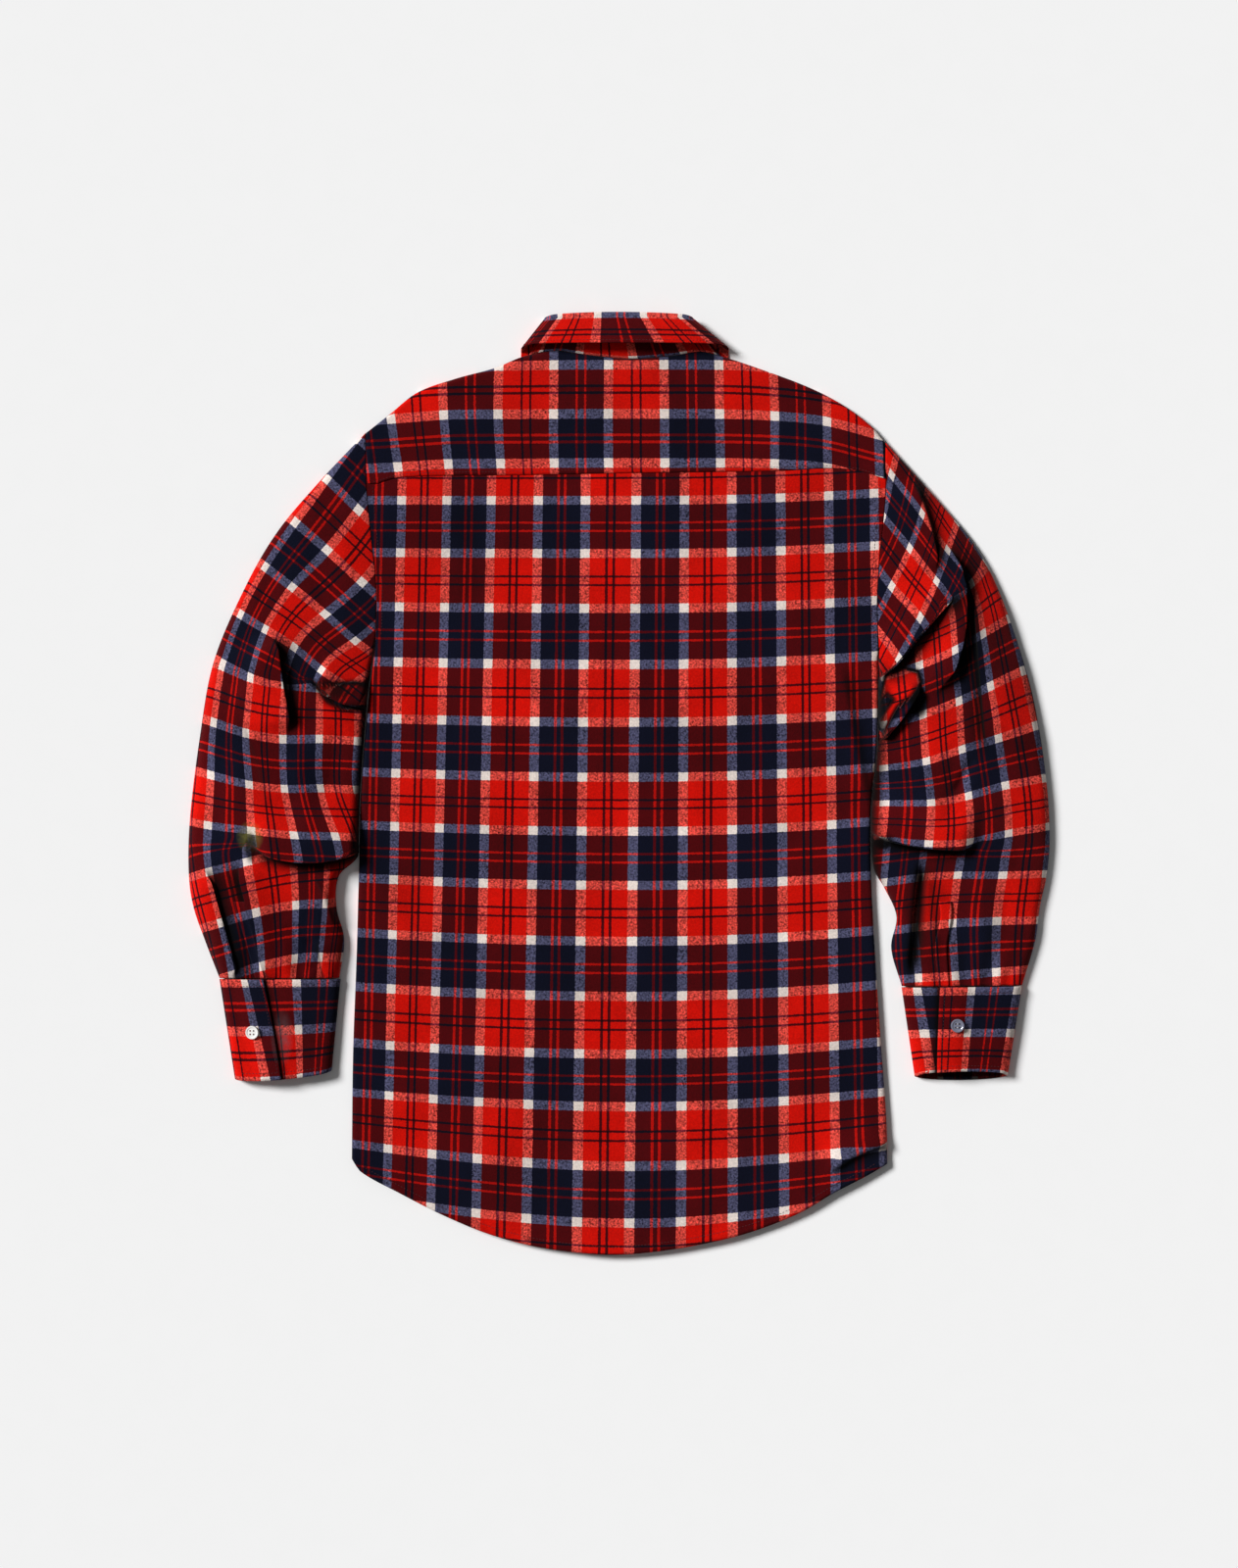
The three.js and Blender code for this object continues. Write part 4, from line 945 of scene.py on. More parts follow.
class Cuff:
    """A band with its ends lapped on top. q goes from the upper end (0) over the outer edge (1 to 2),
    underneath (2 to 3), round the inner edge (3 to 4) and back on top to the lower end (5)."""

    # Painted shadow that the upper end casts on the lower one, and painted shade inside the mouth
    LAP_SHADOW_DARK = 0.9
    LAP_SHADOW_REACH = 3.5
    LAP_SHADOW_START = -2
    LAP_RAMP = Place(start=0.16, end=0.02)
    MOUTH_SHADE = Place(dark=0.75, reach=(0.8, 0.9), q_from=1.9, q_to=3.1)
    ROLL = Place(height=0.5, seam=(0.09, 0.04), end=(0.91, 0.96))
    WAVE = Place(height=0.5, across=11, along=3)
    EDGE_SLACK = 2
    LEAN_BACK = (4, 4.3)

    def __init__(self, side):
        self.side = side
        self.shape = CUFF_SHAPE[side]
        self.seam, self.end = CUFFS[side].rows

    def line(self, v):
        def column(name):
            return mix(getattr(self.seam, name), getattr(self.end, name), v)

        outer = np.stack([column("outer_x"), column("outer_y")], -1)
        inner = np.stack([column("inner_x"), column("inner_y")], -1)
        lap = column("lap")
        width = np.linalg.norm(inner - outer, axis=-1)
        return outer, inner, width, lap, lap - CUFF_OVERLAP, SLEEVE_RADIUS / width

    def share(self, q, v):
        _, _, _, lap, low, edge = self.line(v)
        turn = np.where(q < 2.5, np.clip(q - 1, 0, 1), np.clip(4 - q, 0, 1)) * math.pi
        inward = edge * (1 - np.sin(turn))
        share = np.where(q < 2.5, inward, 1 - inward)
        share = np.where(q < 1, mix(lap, edge, q), share)
        share = np.where((q > 2) & (q < 3), mix(edge, 1 - edge, q - 2), share)
        share = np.where(q > 4, mix(1 - edge, low, q - 4), share)
        return share, np.cos(turn)

    def point(self, q, v):
        outer, inner, _, _, low, _ = self.line(v)
        share, lift = self.share(q, v)
        spot = outer + (inner - outer) * share[..., None]
        bump = np.sqrt(np.maximum(4 * share * (1 - share), 0))
        drawn = self.shape.mouth * v * v * np.maximum(lift, 0) * bump - self.shape.bow * v * v * bump
        lapped = ease(low - self.LAP_RAMP.start, low - self.LAP_RAMP.end, share)
        raised = np.where(q < 1, CUFF_STEP * lapped, 0)
        top = CUFF_TOP + self.shape.rise * bump + raised + self.relief(share, v)
        z = np.where(lift > 0, mix(CUFF_TOP / 2, top, lift), CUFF_TOP / 2 * (1 + lift))
        return points(spot[..., 0], spot[..., 1] + drawn, z)

    def shade(self, q, v):
        """The painted shadow that the upper end casts on the lower one, and painted shade inside the mouth.
        """
        _, _, width, lap, _, _ = self.line(v)
        share, _ = self.share(q, v)
        past = (share - lap) * width
        under_lap = (q > 4) & (past > self.LAP_SHADOW_START)
        beneath = (q > self.MOUTH_SHADE.q_from) & (q < self.MOUTH_SHADE.q_to)
        mouth = self.MOUTH_SHADE.dark * ease(*self.MOUTH_SHADE.reach, v) * beneath
        return np.maximum(mouth, self.LAP_SHADOW_DARK * shadow(past, self.LAP_SHADOW_REACH) * under_lap)

    def relief(self, share, v):
        """Rolled edges at the seam and the mouth, and a slow wave between them."""
        edges = self.ROLL.height * (ease(*self.ROLL.seam, v) + ease(*self.ROLL.end, v))
        wave = np.sin(share * self.WAVE.across + v * self.WAVE.along) * np.sin(math.pi * v)
        return edges + self.WAVE.height * wave

    def plaid(self, q, v):
        _, _, width, lap, low, _ = self.line(v)
        chart = CUFF_CHART[self.side]
        edge = math.pi * CUFF_TOP / 2 + self.EDGE_SLACK
        ends = ((lap * width).mean(), ((1 - low) * width).mean())
        knots = np.cumsum([0, ends[0], edge, width.mean(), edge, ends[1]])
        along = np.interp(q, np.arange(len(knots)), knots)
        second = knots[4] + chart.under
        pitch = (second - chart.top) / (chart.under_number - chart.top_number)
        lean = v * (chart.top_lean * ease(1, 0, q) + chart.under_lean * ease(*self.LEAN_BACK, q))
        across = chart.top_number + (along - chart.top - lean) / pitch
        length = np.hypot(self.end.outer_x - self.seam.outer_x, self.end.outer_y - self.seam.outer_y)
        rows = chart.row + (v - chart.first_row) * length / chart.row_pitch
        return np.stack([rows, across], -1)


# Collar

# Degrees round the neck from the middle of the back, over which the collar changes its course
COURSE = Place(down=(76, 90), lap=(150, 170), fold_down=(76, 92), point=125, roll=(90, 60), fall=(70, 95))
FRAME_STEP = 3
EDGE_CURVE = Place(back=0.45, side=4, in_front=2, fall=4)


def collar_base(angle):
    s, c = sine_cosine(angle)
    around = np.abs(angle)
    back_x = NECK.x + NECK.half_width * s
    back_y = shoulder_y(back_x)
    height = mix(EDGE_HEIGHT, top_height("back", back_x, back_y), 1 - shoulder_fold(back_x))
    back = points(back_x, back_y + SEAM, mix(height, NECK.lift, ease(*COURSE.down, around)))
    lap_z = np.where(angle > 0, UNDERLAP_Z, PLACKET_Z)
    front = points(
        NECK.x + (NECK.half_width - SEAM) * s,
        NECK.y + SEAM + (NECK.depth - SEAM) * c,
        mix(NECK.lift, lap_z, ease(*COURSE.lap, around)),
    )
    return np.where((c >= 0)[..., None], back, front)


def collar_fold(angle):
    s, c = sine_cosine(angle)
    above = mix(FOLD.side_z, FOLD.back_z, np.maximum(c, 0))
    z = mix(above, collar_base(angle)[..., 2], ease(*COURSE.fold_down, np.abs(angle)))
    y = np.where(c > 0, mix(FOLD.side_y, FOLD.back_y, c), FOLD.side_y + FOLD.front_drop * c)
    return points(FOLD.x + FOLD.half_width * s, y, z)


def unit(vectors):
    return vectors / np.linalg.norm(vectors, axis=-1, keepdims=True)


def collar_frame(angle):
    along = unit(collar_fold(angle + FRAME_STEP) - collar_fold(angle - FRAME_STEP))
    up = unit(collar_fold(angle) - collar_base(angle))
    up = unit(up - along * (up * along).sum(-1, keepdims=True))
    return up, np.cross(along, up)


def stand_point(angle, v):
    return mix(collar_base(angle), collar_fold(angle), v[..., None])


def leaf_edge(angle):
    s, c = sine_cosine(angle)
    behind = np.maximum(c, 0)
    back = points(
        NECK.x + LEAF.half_width * s,
        LEAF.edge_y - LEAF.side_drop * (1 - behind) ** EDGE_CURVE.side,
        LEAF.back_z * behind**EDGE_CURVE.back,
    )
    point = ease(COURSE.point, LEAF.ends, np.abs(angle))
    front = points(
        NECK.x + (LEAF.half_width - EDGE_CURVE.in_front * c) * s + np.sign(s) * LEAF.spread * point,
        LEAF.edge_y - LEAF.side_drop + (NECK.depth + LEAF.reach) * c - LEAF.point * point,
        0 * c,
    )
    return np.where((c >= 0)[..., None], back, front)


def leaf_point(angle, v):
    """The leaf rolls over the top of the stand (v from 0 to 1) and falls to its outer edge (1 to 2)."""
    up, out = collar_frame(angle)
    radius = mix(ROLL.front, ROLL.back, ease(*COURSE.roll, np.abs(angle)))
    turn = math.pi * np.minimum(v, 1)
    rolled = (collar_fold(angle) + up * (SEAM + radius * np.sin(turn))[..., None]
              + out * (radius - CLOTH - radius * np.cos(turn))[..., None])
    share = np.maximum(v - 1, 0)
    edge = leaf_edge(angle)
    fallen = mix(rolled, edge, share[..., None])
    low, high = rolled[..., 2], edge[..., 2]
    front = ease(*COURSE.fall, np.abs(angle))
    fallen[..., 2] = mix(mix(low, high, share), mix(high, low, (1 - share) ** EDGE_CURVE.fall), front)
    return fallen


# The place of one white stripe round the collar, in pixels of the photograph, its number, and the
# numbers up the stand, and over the roll and down the leaf
STAND_STRIPES = Place(px=589, number=0, bottom=0.95, height=-0.8)
LEAF_STRIPES = Place(px=605, number=1, bottom=-0.1, height=0.14, fall=0.62)


def round_neck(stripes, middle, angle, radius):
    """Stripe numbers round the collar."""
    x, _ = from_photo(stripes.px, 0)
    return stripes.number + (middle + np.radians(angle) * radius - x) / WEFT_PITCH


def stand_plaid(angle, v):
    up = STAND_STRIPES.bottom + STAND_STRIPES.height * v
    return np.stack([up, round_neck(STAND_STRIPES, NECK.x, angle, NECK.half_width)], -1)


def leaf_plaid(angle, v):
    up = LEAF_STRIPES.bottom + LEAF_STRIPES.height * v + LEAF_STRIPES.fall * np.maximum(v - 1, 0)
    radius = 0.5 * (FOLD.half_width + LEAF.half_width)
    return np.stack([up, round_neck(LEAF_STRIPES, FOLD.x, angle, radius)], -1)


# Threads

STITCH_PITCH = 2.8
STITCH_LENGTH = 2.1
STITCH_WIDTH = 0.5
STITCH_LIFT = 0.1
BUTTON_PLACES = {"left": Place(along=0.53, share=0.24), "right": Place(along=0.44, share=0.55)}
BUTTON_FACE = 1.95
BUTTON_HOLE = 1.5

# Where the stitches run, as places on each piece, and the gap at the leaf's ends in degrees
YOKE_STITCHES = 0.965
HEM_STITCHES = 0.9895
ARMHOLE_STITCHES = 0.002
ARMHOLE_RUN = (0.004, 0.22)
LEAF_STITCHES = 1.9
LEAF_GAP = 2
ALONG_EDGE = (0.01, 0.99)
CUFF_STITCHES = (0.07, 0.93)
CUFF_ENDS = ((0.04, 1), (4, 4.9))
LAP_EDGE = (0.05, 0.95)

# Places read along a line of stitches, and how far apart two places give a surface's slope
READS = Place(edge=240, armhole=60, cuff=80, lap=40)
SMALL_STEP = 1e-3


def outward(point, u, v, facing):
    """The way out of a surface."""
    across = point(u + SMALL_STEP, v) - point(u - SMALL_STEP, v)
    down = point(u, v + SMALL_STEP) - point(u, v - SMALL_STEP)
    return unit(np.cross(across, down)) * facing


def thread_mesh(name, threads, length):
    """Short round threads, each given by its middle and its way. Their length is in millimetres."""
    made = bmesh.new()
    size = Matrix.Diagonal((length / 2 * MM, STITCH_WIDTH / 2 * MM, STITCH_WIDTH / 2 * MM, 1))
    for middle, way in threads:
        turn = Vector(way).to_track_quat("X", "Z").to_matrix().to_4x4()
        place = Matrix.Translation(Vector(middle) * MM) @ turn @ size
        bmesh.ops.create_icosphere(made, subdivisions=1, radius=1, matrix=place)
    for face in made.faces:
        face.smooth = True
    return finished(name, made)


def stitch_row(point, u, v, facing):
    """Threads at an even pitch along a line on a surface."""
    u, v = np.broadcast_arrays(np.asarray(u, float), np.asarray(v, float))
    line = point(u, v) + outward(point, u, v, facing) * STITCH_LIFT
    run = np.concatenate([[0], np.cumsum(np.linalg.norm(np.diff(line, axis=0), axis=1))])
    starts = np.arange(STITCH_PITCH / 2, run[-1] - STITCH_LENGTH, STITCH_PITCH)

    def at(where):
        return np.stack([np.interp(where, run, line[:, i]) for i in range(3)], -1)

    return list(zip(at(starts + STITCH_LENGTH / 2), at(starts + STITCH_LENGTH) - at(starts)))


def button_threads(side):
    """Two threads through the four holes of a cuff button."""
    cuff = Cuff(side)
    spot = BUTTON_PLACES[side]
    along = np.array(spot.along)
    _, _, _, lap, _, edge = cuff.line(along)
    q = np.array((lap - spot.share) / (lap - edge))
    out = Vector(outward(cuff.point, q, along, -AWAY[side]))
    turn = Vector((0, 0, 1)).rotation_difference(out)
    base = Vector(cuff.point(q, along)) + out * BUTTON_FACE
    return [
        (base + turn @ Vector((0, y, 0)), turn @ Vector((1, 0, 0)))
        for y in (-BUTTON_HOLE, BUTTON_HOLE)
    ]


# Materials


def shader(name, build):
    material = bpy.data.materials.new(name)
    material.use_nodes = True
    tree = material.node_tree
    tree.nodes.clear()
    output = tree.nodes.new("ShaderNodeOutputMaterial")
    surface = tree.nodes.new("ShaderNodeBsdfPrincipled")
    tree.links.new(surface.outputs[0], output.inputs[0])
    build(Wiring(tree), surface)
    return material


class Wiring:
    """Adds nodes to a material and joins them."""

    def __init__(self, tree):
        self.tree = tree

    def node(self, kind, inputs=(), **settings):
        made = self.tree.nodes.new(kind)
        for key, value in settings.items():
            setattr(made, key, value)
        for key, value in dict(inputs).items():
            self.put(made.inputs[key], value)
        return made

    def put(self, socket, value):
        if isinstance(value, bpy.types.NodeSocket):
            self.tree.links.new(value, socket)
        else:
            socket.default_value = value

    def math(self, operation, *values):
        return self.node("ShaderNodeMath", dict(enumerate(values)), operation=operation).outputs[0]

    def vector(self, operation, *values):
        made = self.node("ShaderNodeVectorMath", dict(enumerate(values)), operation=operation)
        return made.outputs["Value" if operation == "LENGTH" else "Vector"]

    def scaled(self, value, share):
        made = self.node("ShaderNodeVectorMath", {0: value, "Scale": share}, operation="SCALE")
        return made.outputs[0]

    def blend(self, share, low, high):
        return self.node("ShaderNodeMix", {0: share, 6: low, 7: high}, data_type="RGBA").outputs[2]

    def reach(self, place, spot):
        """How far a place lies from the middle of an oval, where 1 is on its edge."""
        x, y = from_photo(spot.px, spot.py)
        centred = self.vector("SUBTRACT", place, (x * MM, y * MM, 0))
        scale = (1 / (spot.wide * PHOTO.scale * MM), 1 / (spot.tall * PHOTO.scale * MM), 0)
        return self.vector("LENGTH", self.vector("MULTIPLY", centred, scale))

    def noise(self, where, scale, detail=2.0, roughness=0.5):
        inputs = {"Vector": where, "Scale": scale, "Detail": detail, "Roughness": roughness}
        return self.node("ShaderNodeTexNoise", inputs).outputs["Fac"]

    def uneven(self, depth, where, *grain):
        """Noise as far under 0 as over it."""
        return self.math("MULTIPLY", self.math("SUBTRACT", self.noise(where, *grain), 0.5), depth)

    def bands(self, share, stops):
        """A colour ramp of plain bands: each of the stops is where a band starts, and its colour."""
        made = self.node("ShaderNodeValToRGB", {"Fac": share})
        ramp = made.color_ramp
        ramp.interpolation = "CONSTANT"
        while len(ramp.elements) < len(stops):
            ramp.elements.new(1)
        for element, (start, colour) in zip(ramp.elements, stops):
            element.position = start
            element.color = colour
        return made.outputs[0]


def opaque(colour, shade=1.0):
    return tuple(channel * shade for channel in colour[:3]) + (1.0,)


def linear(*srgb):
    """A colour seen on a screen, from 0 to 255, as Blender mixes it."""
    shares = [channel / 255 for channel in srgb]
    return opaque([s / 12.92 if s <= 0.04045 else ((s + 0.055) / 1.055) ** 2.4 for s in shares])


# Yarn colours where two yarns cross: red, navy and white grounds, thin navy lines (L) and thin red
# lines (K)
CROSSED = {
    "RR": linear(204, 13, 2), "RN": linear(74, 3, 7), "NN": linear(9, 12, 29),
    "RW": linear(208, 68, 58), "NW": linear(72, 72, 98), "WW": linear(230, 216, 208),
    "RL": linear(70, 3, 9), "NL": linear(11, 8, 20), "WL": linear(112, 32, 44), "LL": linear(30, 3, 10),
    "RK": linear(172, 12, 6), "NK": linear(76, 4, 13), "WK": linear(186, 54, 54), "LK": linear(48, 4, 10),
    "KK": linear(150, 12, 8),
}


STRIPED = (("R", "L"), ("N", "K"))


def stripe_stops(pitch, band, line, gap):
    """Where the yarn changes over two zones, as shares of them: white, then red with two navy lines,
    white, and navy with two red lines."""
    white = pitch - 2 * band - 2 * line - gap
    stops, at = [(0.0, "W")], white / 2
    for ground, lines in STRIPED:
        yarns = (ground, lines, ground, lines, ground, "W")
        for width, yarn in zip((band, line, gap, line, band, white), yarns):
            stops.append((at / (2 * pitch), yarn))
            at += width
    return stops


WARP_STOPS = stripe_stops(WARP_PITCH, band=12.6, line=2.3, gap=3.7)
WEFT_STOPS = stripe_stops(WEFT_PITCH, band=14.85, line=2.1, gap=5.2)


def crossed(a, b):
    return CROSSED[a + b if a + b in CROSSED else b + a]


def masked(stops, kind):
    """White bands where one yarn lies and black ones elsewhere."""
    return [(at, opaque([float(yarn == kind)] * 3)) for at, yarn in stops]


# A yellowed patch over the left elbow and a grey one on the left cuff, as pixels of the photograph
STAINS = (
    Place(px=257, py=854, wide=15, tall=17, depth=1.1, colour=linear(118, 112, 52)),
    Place(px=289, py=1058, wide=12, tall=30, depth=0.9, colour=linear(86, 80, 84)),
)


# Noise is given by its scale, its detail and its roughness
FRAY = Place(scale=900.0, detail=1.0, reach=0.03)
SPECKS = Place(grain=(620.0, 2.0, 0.7), ground=0.8, half_white=3.4)
CLOUD = Place(grain=(26.0, 3.0), depth=0.55)
# Broad blotches of painted shade and light that stand in for the cloth's soft folds
PAINTED_FOLD_SHADE = Place(grain=(7.0, 2.0), depth=0.5)
BRIGHTNESS = 0.92
STAIN = Place(grain=(300.0, 3.0), edge=1.0, full=0.2)
# How strongly the painted shade darkens the cloth, and the power that deepens it
PAINTED_CREASE_SHADE = Place(depth=-0.95, power=2.0)
TWILL = Place(turns=180.0, share=0.25)
NAP = (700.0, 4.0, 0.65)
WEAVE = {"Strength": 0.55, "Distance": 0.0006}
FLANNEL = {"Roughness": 0.95, "Specular IOR Level": 0.06, "Sheen Roughness": 0.5}


def plaid(material_name, settings):
    def build(w, surface):
        uv = w.node("ShaderNodeUVMap", uv_map="Plaid").outputs[0]
        place = w.node("ShaderNodeTexCoord").outputs["Object"]
        fray = w.node("ShaderNodeTexNoise", {"Vector": place, "Scale": FRAY.scale, "Detail": FRAY.detail})
        ragged = w.vector("SUBTRACT", fray.outputs["Color"], (0.5, 0.5, 0.5))
        stripes = w.vector("ADD", uv, w.scaled(ragged, FRAY.reach))
        across, down = w.node("ShaderNodeSeparateXYZ", {0: stripes}).outputs[:2]
        warp, weft = (w.math("FRACT", w.math("MULTIPLY", way, 0.5)) for way in (across, down))
        rows = {
            yarn: w.bands(warp, [(at, crossed(yarn, other)) for at, other in WARP_STOPS])
            for yarn in "RNLKW"
        }
        colour = rows["R"]
        for yarn in "NLKW":
            colour = w.blend(w.bands(weft, masked(WEFT_STOPS, yarn)), colour, rows[yarn])
        whites = (w.bands(warp, masked(WARP_STOPS, "W")), w.bands(weft, masked(WEFT_STOPS, "W")))
        half_white = w.math("ABSOLUTE", w.math("SUBTRACT", *whites))
        coarse = w.math("MULTIPLY_ADD", half_white, SPECKS.half_white, SPECKS.ground)
        speckle = w.uneven(coarse, place, *SPECKS.grain)
        cloud, painted_fold_shade = (w.uneven(kind.depth, place, *kind.grain) for kind in (CLOUD, PAINTED_FOLD_SHADE))
        # The cloth's own speckles and cloudy tone, with the broad painted shade of soft folds
        bright = w.math("ADD", w.math("ADD", speckle, w.math("ADD", cloud, painted_fold_shade)), BRIGHTNESS)
        colour = w.scaled(colour, bright)
        for stain in STAINS:
            limits = {"Value": w.reach(place, stain), 1: STAIN.edge, 2: STAIN.full}
            inside = w.node("ShaderNodeMapRange", limits).outputs[0]
            depth = w.math("MULTIPLY", w.noise(place, *STAIN.grain), stain.depth)
            colour = w.blend(w.math("MULTIPLY", inside, depth), colour, stain.colour)
        # Painted shade and painted shadows from each piece's vertices darken the cloth's colour
        crease = w.node("ShaderNodeAttribute", attribute_name="PaintedCreaseShade").outputs["Fac"]
        lit = w.math("POWER", w.math("MULTIPLY_ADD", crease, PAINTED_CREASE_SHADE.depth, 1.0), PAINTED_CREASE_SHADE.power)
        colour = w.scaled(colour, lit)
        twill = w.math("SINE", w.math("MULTIPLY", w.math("ADD", across, down), TWILL.turns))
        height = w.math("ADD", w.math("MULTIPLY", twill, TWILL.share), w.noise(place, *NAP))
        w.put(surface.inputs["Base Color"], colour)
        w.put(surface.inputs["Normal"], w.node("ShaderNodeBump", {**WEAVE, "Height": height}).outputs[0])
        for key, value in FLANNEL.items():
            surface.inputs[key].default_value = value
        surface.inputs["Sheen Weight"].default_value = settings.sheen

    return shader(material_name, build)


# Finishes that vary between a colour and a darker shade of it, some with fine bumps
PEARL = Place(shade=0.82, grain=(260.0, 3.0, 0.6), bump=0.2, bump_scale=900.0, surface={"Coat Weight": 0.3})
THREAD = Place(shade=0.6, grain=(1800.0,), bump=0.4, bump_scale=4000.0, surface={})
FLOOR = Place(shade=0.985, grain=(40.0, 2.0), bump=0, bump_scale=0, surface={"Specular IOR Level": 0.1})
FINE_BUMPS = 0.0001
ROUGHNESS = Place(white_button=0.3, grey_button=0.25, thread=0.8, floor=0.9)


def mottled(name, colour, finish, roughness):
    def build(w, surface):
        place = w.node("ShaderNodeTexCoord").outputs["Object"]
        grain = w.noise(place, *finish.grain)
        w.put(surface.inputs["Base Color"], w.blend(grain, opaque(colour, finish.shade), opaque(colour)))
        if finish.bump:
            height = w.noise(place, finish.bump_scale)
            sizes = {"Strength": finish.bump, "Distance": FINE_BUMPS, "Height": height}
            w.put(surface.inputs["Normal"], w.node("ShaderNodeBump", sizes).outputs[0])
        for key, value in {"Roughness": roughness, **finish.surface}.items():
            surface.inputs[key].default_value = value

    return shader(name, build)


def thread_finish(name, colour):
    return mottled(name, colour, THREAD, ROUGHNESS.thread)


# Settings that a user would change


class ShirtClothSettings(PropertyGroup):
    thickness: FloatProperty(
        name="Thickness", description="How thick the flannel is", default=0.0011, min=0.0003, unit="LENGTH"
    )
    sheen: FloatProperty(
        name="Nap sheen", description="How much light the brushed nap catches", default=0.04, min=0, max=1
    )


class ShirtButtonSettings(PropertyGroup):
    colour: FloatVectorProperty(
        name="Colour", description="Colour of the pearl buttons", default=linear(238, 236, 232)[:3],
        subtype="COLOR", min=0, max=1,
    )
    right_cuff_colour: FloatVectorProperty(
        name="Right cuff colour", description="Colour of the greyer button on the right cuff",
        default=linear(120, 122, 140)[:3], subtype="COLOR", min=0, max=1,
    )


class ShirtStageSettings(PropertyGroup):
    floor_colour: FloatVectorProperty(
        name="Floor colour", description="Colour of the floor under the shirt",
        default=linear(242, 242, 242)[:3], subtype="COLOR", min=0, max=1,
    )
    camera_height: FloatProperty(
        name="Camera height", description="Height of the camera over the floor", default=3.0, unit="LENGTH"
    )
    key_strength: FloatProperty(
        name="Main light", description="Strength of the soft main light", default=4.58
    )
    key_softness: FloatProperty(
        name="Softness", description="How wide the main light is, seen from the shirt",
        default=math.radians(18), subtype="ANGLE",
    )
    sky: FloatProperty(name="Fill light", description="Strength of the light from all round", default=0.15)


def plaid_material(context):
    made = bpy.data.materials.get("Plaid flannel")
    return made or plaid("Plaid flannel", context.scene.shirt_cloth)


# Operators


class PieceOperator:
    bl_options = {"REGISTER", "UNDO"}

    def piece(self, context, node, *form, **how):
        """Cloth laid on the form of one soft solid, in whose place it shows."""
        name = f"{node}_cloth"
        mesh = grid_mesh(name, *form, **how)
        cloth = context.scene.shirt_cloth
        return cloth_piece(name, mesh, plaid_material(context), [node], cloth.thickness)


class SHIRT_OT_back(PieceOperator, Operator):
    """Make the back panel and the yoke"""

    bl_idname = "shirt.back"
    bl_label = "Back and yoke"

    def execute(self, context):
        us = spans((-1, 0, CELLS.edge), (0, 1, CELLS.body), (1, 2, CELLS.edge))
        form = (us, steps(0, 1, CELLS.back), back_point, back_plaid)
        back = self.piece(context, "back", *form, facing=-1, shade=back_shade)
        vs = spans((-1, 0, CELLS.edge), (0, 1, CELLS.yoke))
        form = (steps(0, 1, CELLS.body), vs, yoke_point, yoke_plaid)
        yoke = self.piece(context, "yoke", *form, facing=-1)
        return {"FINISHED"}


class SHIRT_OT_fronts(PieceOperator, Operator):
    """Make the two fronts and the placket"""

    bl_idname = "shirt.fronts"
    bl_label = "Fronts and placket"

    def execute(self, context):
        vs = spans((-1, 0, CELLS.edge), (0, 1, CELLS.front_down))
        starts = {
            "left": PLACKET_HALF + SEAM + NECK_SIDES["left"] - CENTRE_X,
            "right": -UNDERLAP_REACH + CENTRE_X - NECK_SIDES["right"],
        }
        for side, away in AWAY.items():
            us = spans((starts[side], 0, CELLS.neck), (0, 1, CELLS.front), (1, 2, CELLS.edge))
            front = self.piece(
                context, f"front_{side}", us, vs, lambda u, v: front_point(side, u, v),
                lambda u, v: front_plaid(side, u, v), facing=away,
            )
        us = steps(-PLACKET_HALF, PLACKET_HALF, CELLS.strip)
        form = (us, steps(0, 1, CELLS.front_down), placket_point, placket_plaid)
        placket = self.piece(context, "front_placket", *form)
        return {"FINISHED"}


class SHIRT_OT_sleeves(PieceOperator, Operator):
    """Make the sleeves and their plackets"""

    bl_idname = "shirt.sleeves"
    bl_label = "Sleeves"

    def execute(self, context):
        us = spans(
            (-3, -2, CELLS.sleeve_under), (-2, 0, CELLS.sleeve_outer), (0, 1, CELLS.sleeve_top),
            (1, 3, CELLS.sleeve_inner),
        )
        for side, away in AWAY.items():
            sleeve = Sleeve(side)
            tube = self.piece(
                context, f"sleeve_{side}", us, steps(0, 1, CELLS.sleeve_down), sleeve.point, sleeve.plaid,
                facing=away, welded=True, shade=sleeve.shade,
            )
            self.placket(context, side, sleeve)
        return {"FINISHED"}

    def placket(self, context, side, sleeve):
        """The strip beside the slit, on the sleeve's own form and just above it."""
        start = SLIT[side] / SLEEVE_COLUMNS
        across = steps(start, start + 1 / SLEEVE_COLUMNS, CELLS.placket)
        down = steps(PLACKET_ROW / SLEEVE_ROWS, 1, CELLS.placket_down)

        def raised(u, v):
            place = sleeve.point(u, v)
            place[..., 2] += PLACKET_RISE
            return place

        form = (across, down, raised, sleeve.plaid)
        strip = self.piece(context, f"sleeve_placket_{side}", *form, facing=AWAY[side])


class SHIRT_OT_cuffs(PieceOperator, Operator):
    """Make the two buttoned cuffs"""

    bl_idname = "shirt.cuffs"
    bl_label = "Cuffs"

    def execute(self, context):
        us = spans(*((start, start + 1, count) for start, count in enumerate(CELLS.cuff)))
        for side, away in AWAY.items():
            cuff = Cuff(side)
            form = (us, steps(0, 1, CELLS.cuff_down), cuff.point, cuff.plaid)
            band = self.piece(context, f"cuff_{side}", *form, facing=-away, shade=cuff.shade)
        return {"FINISHED"}


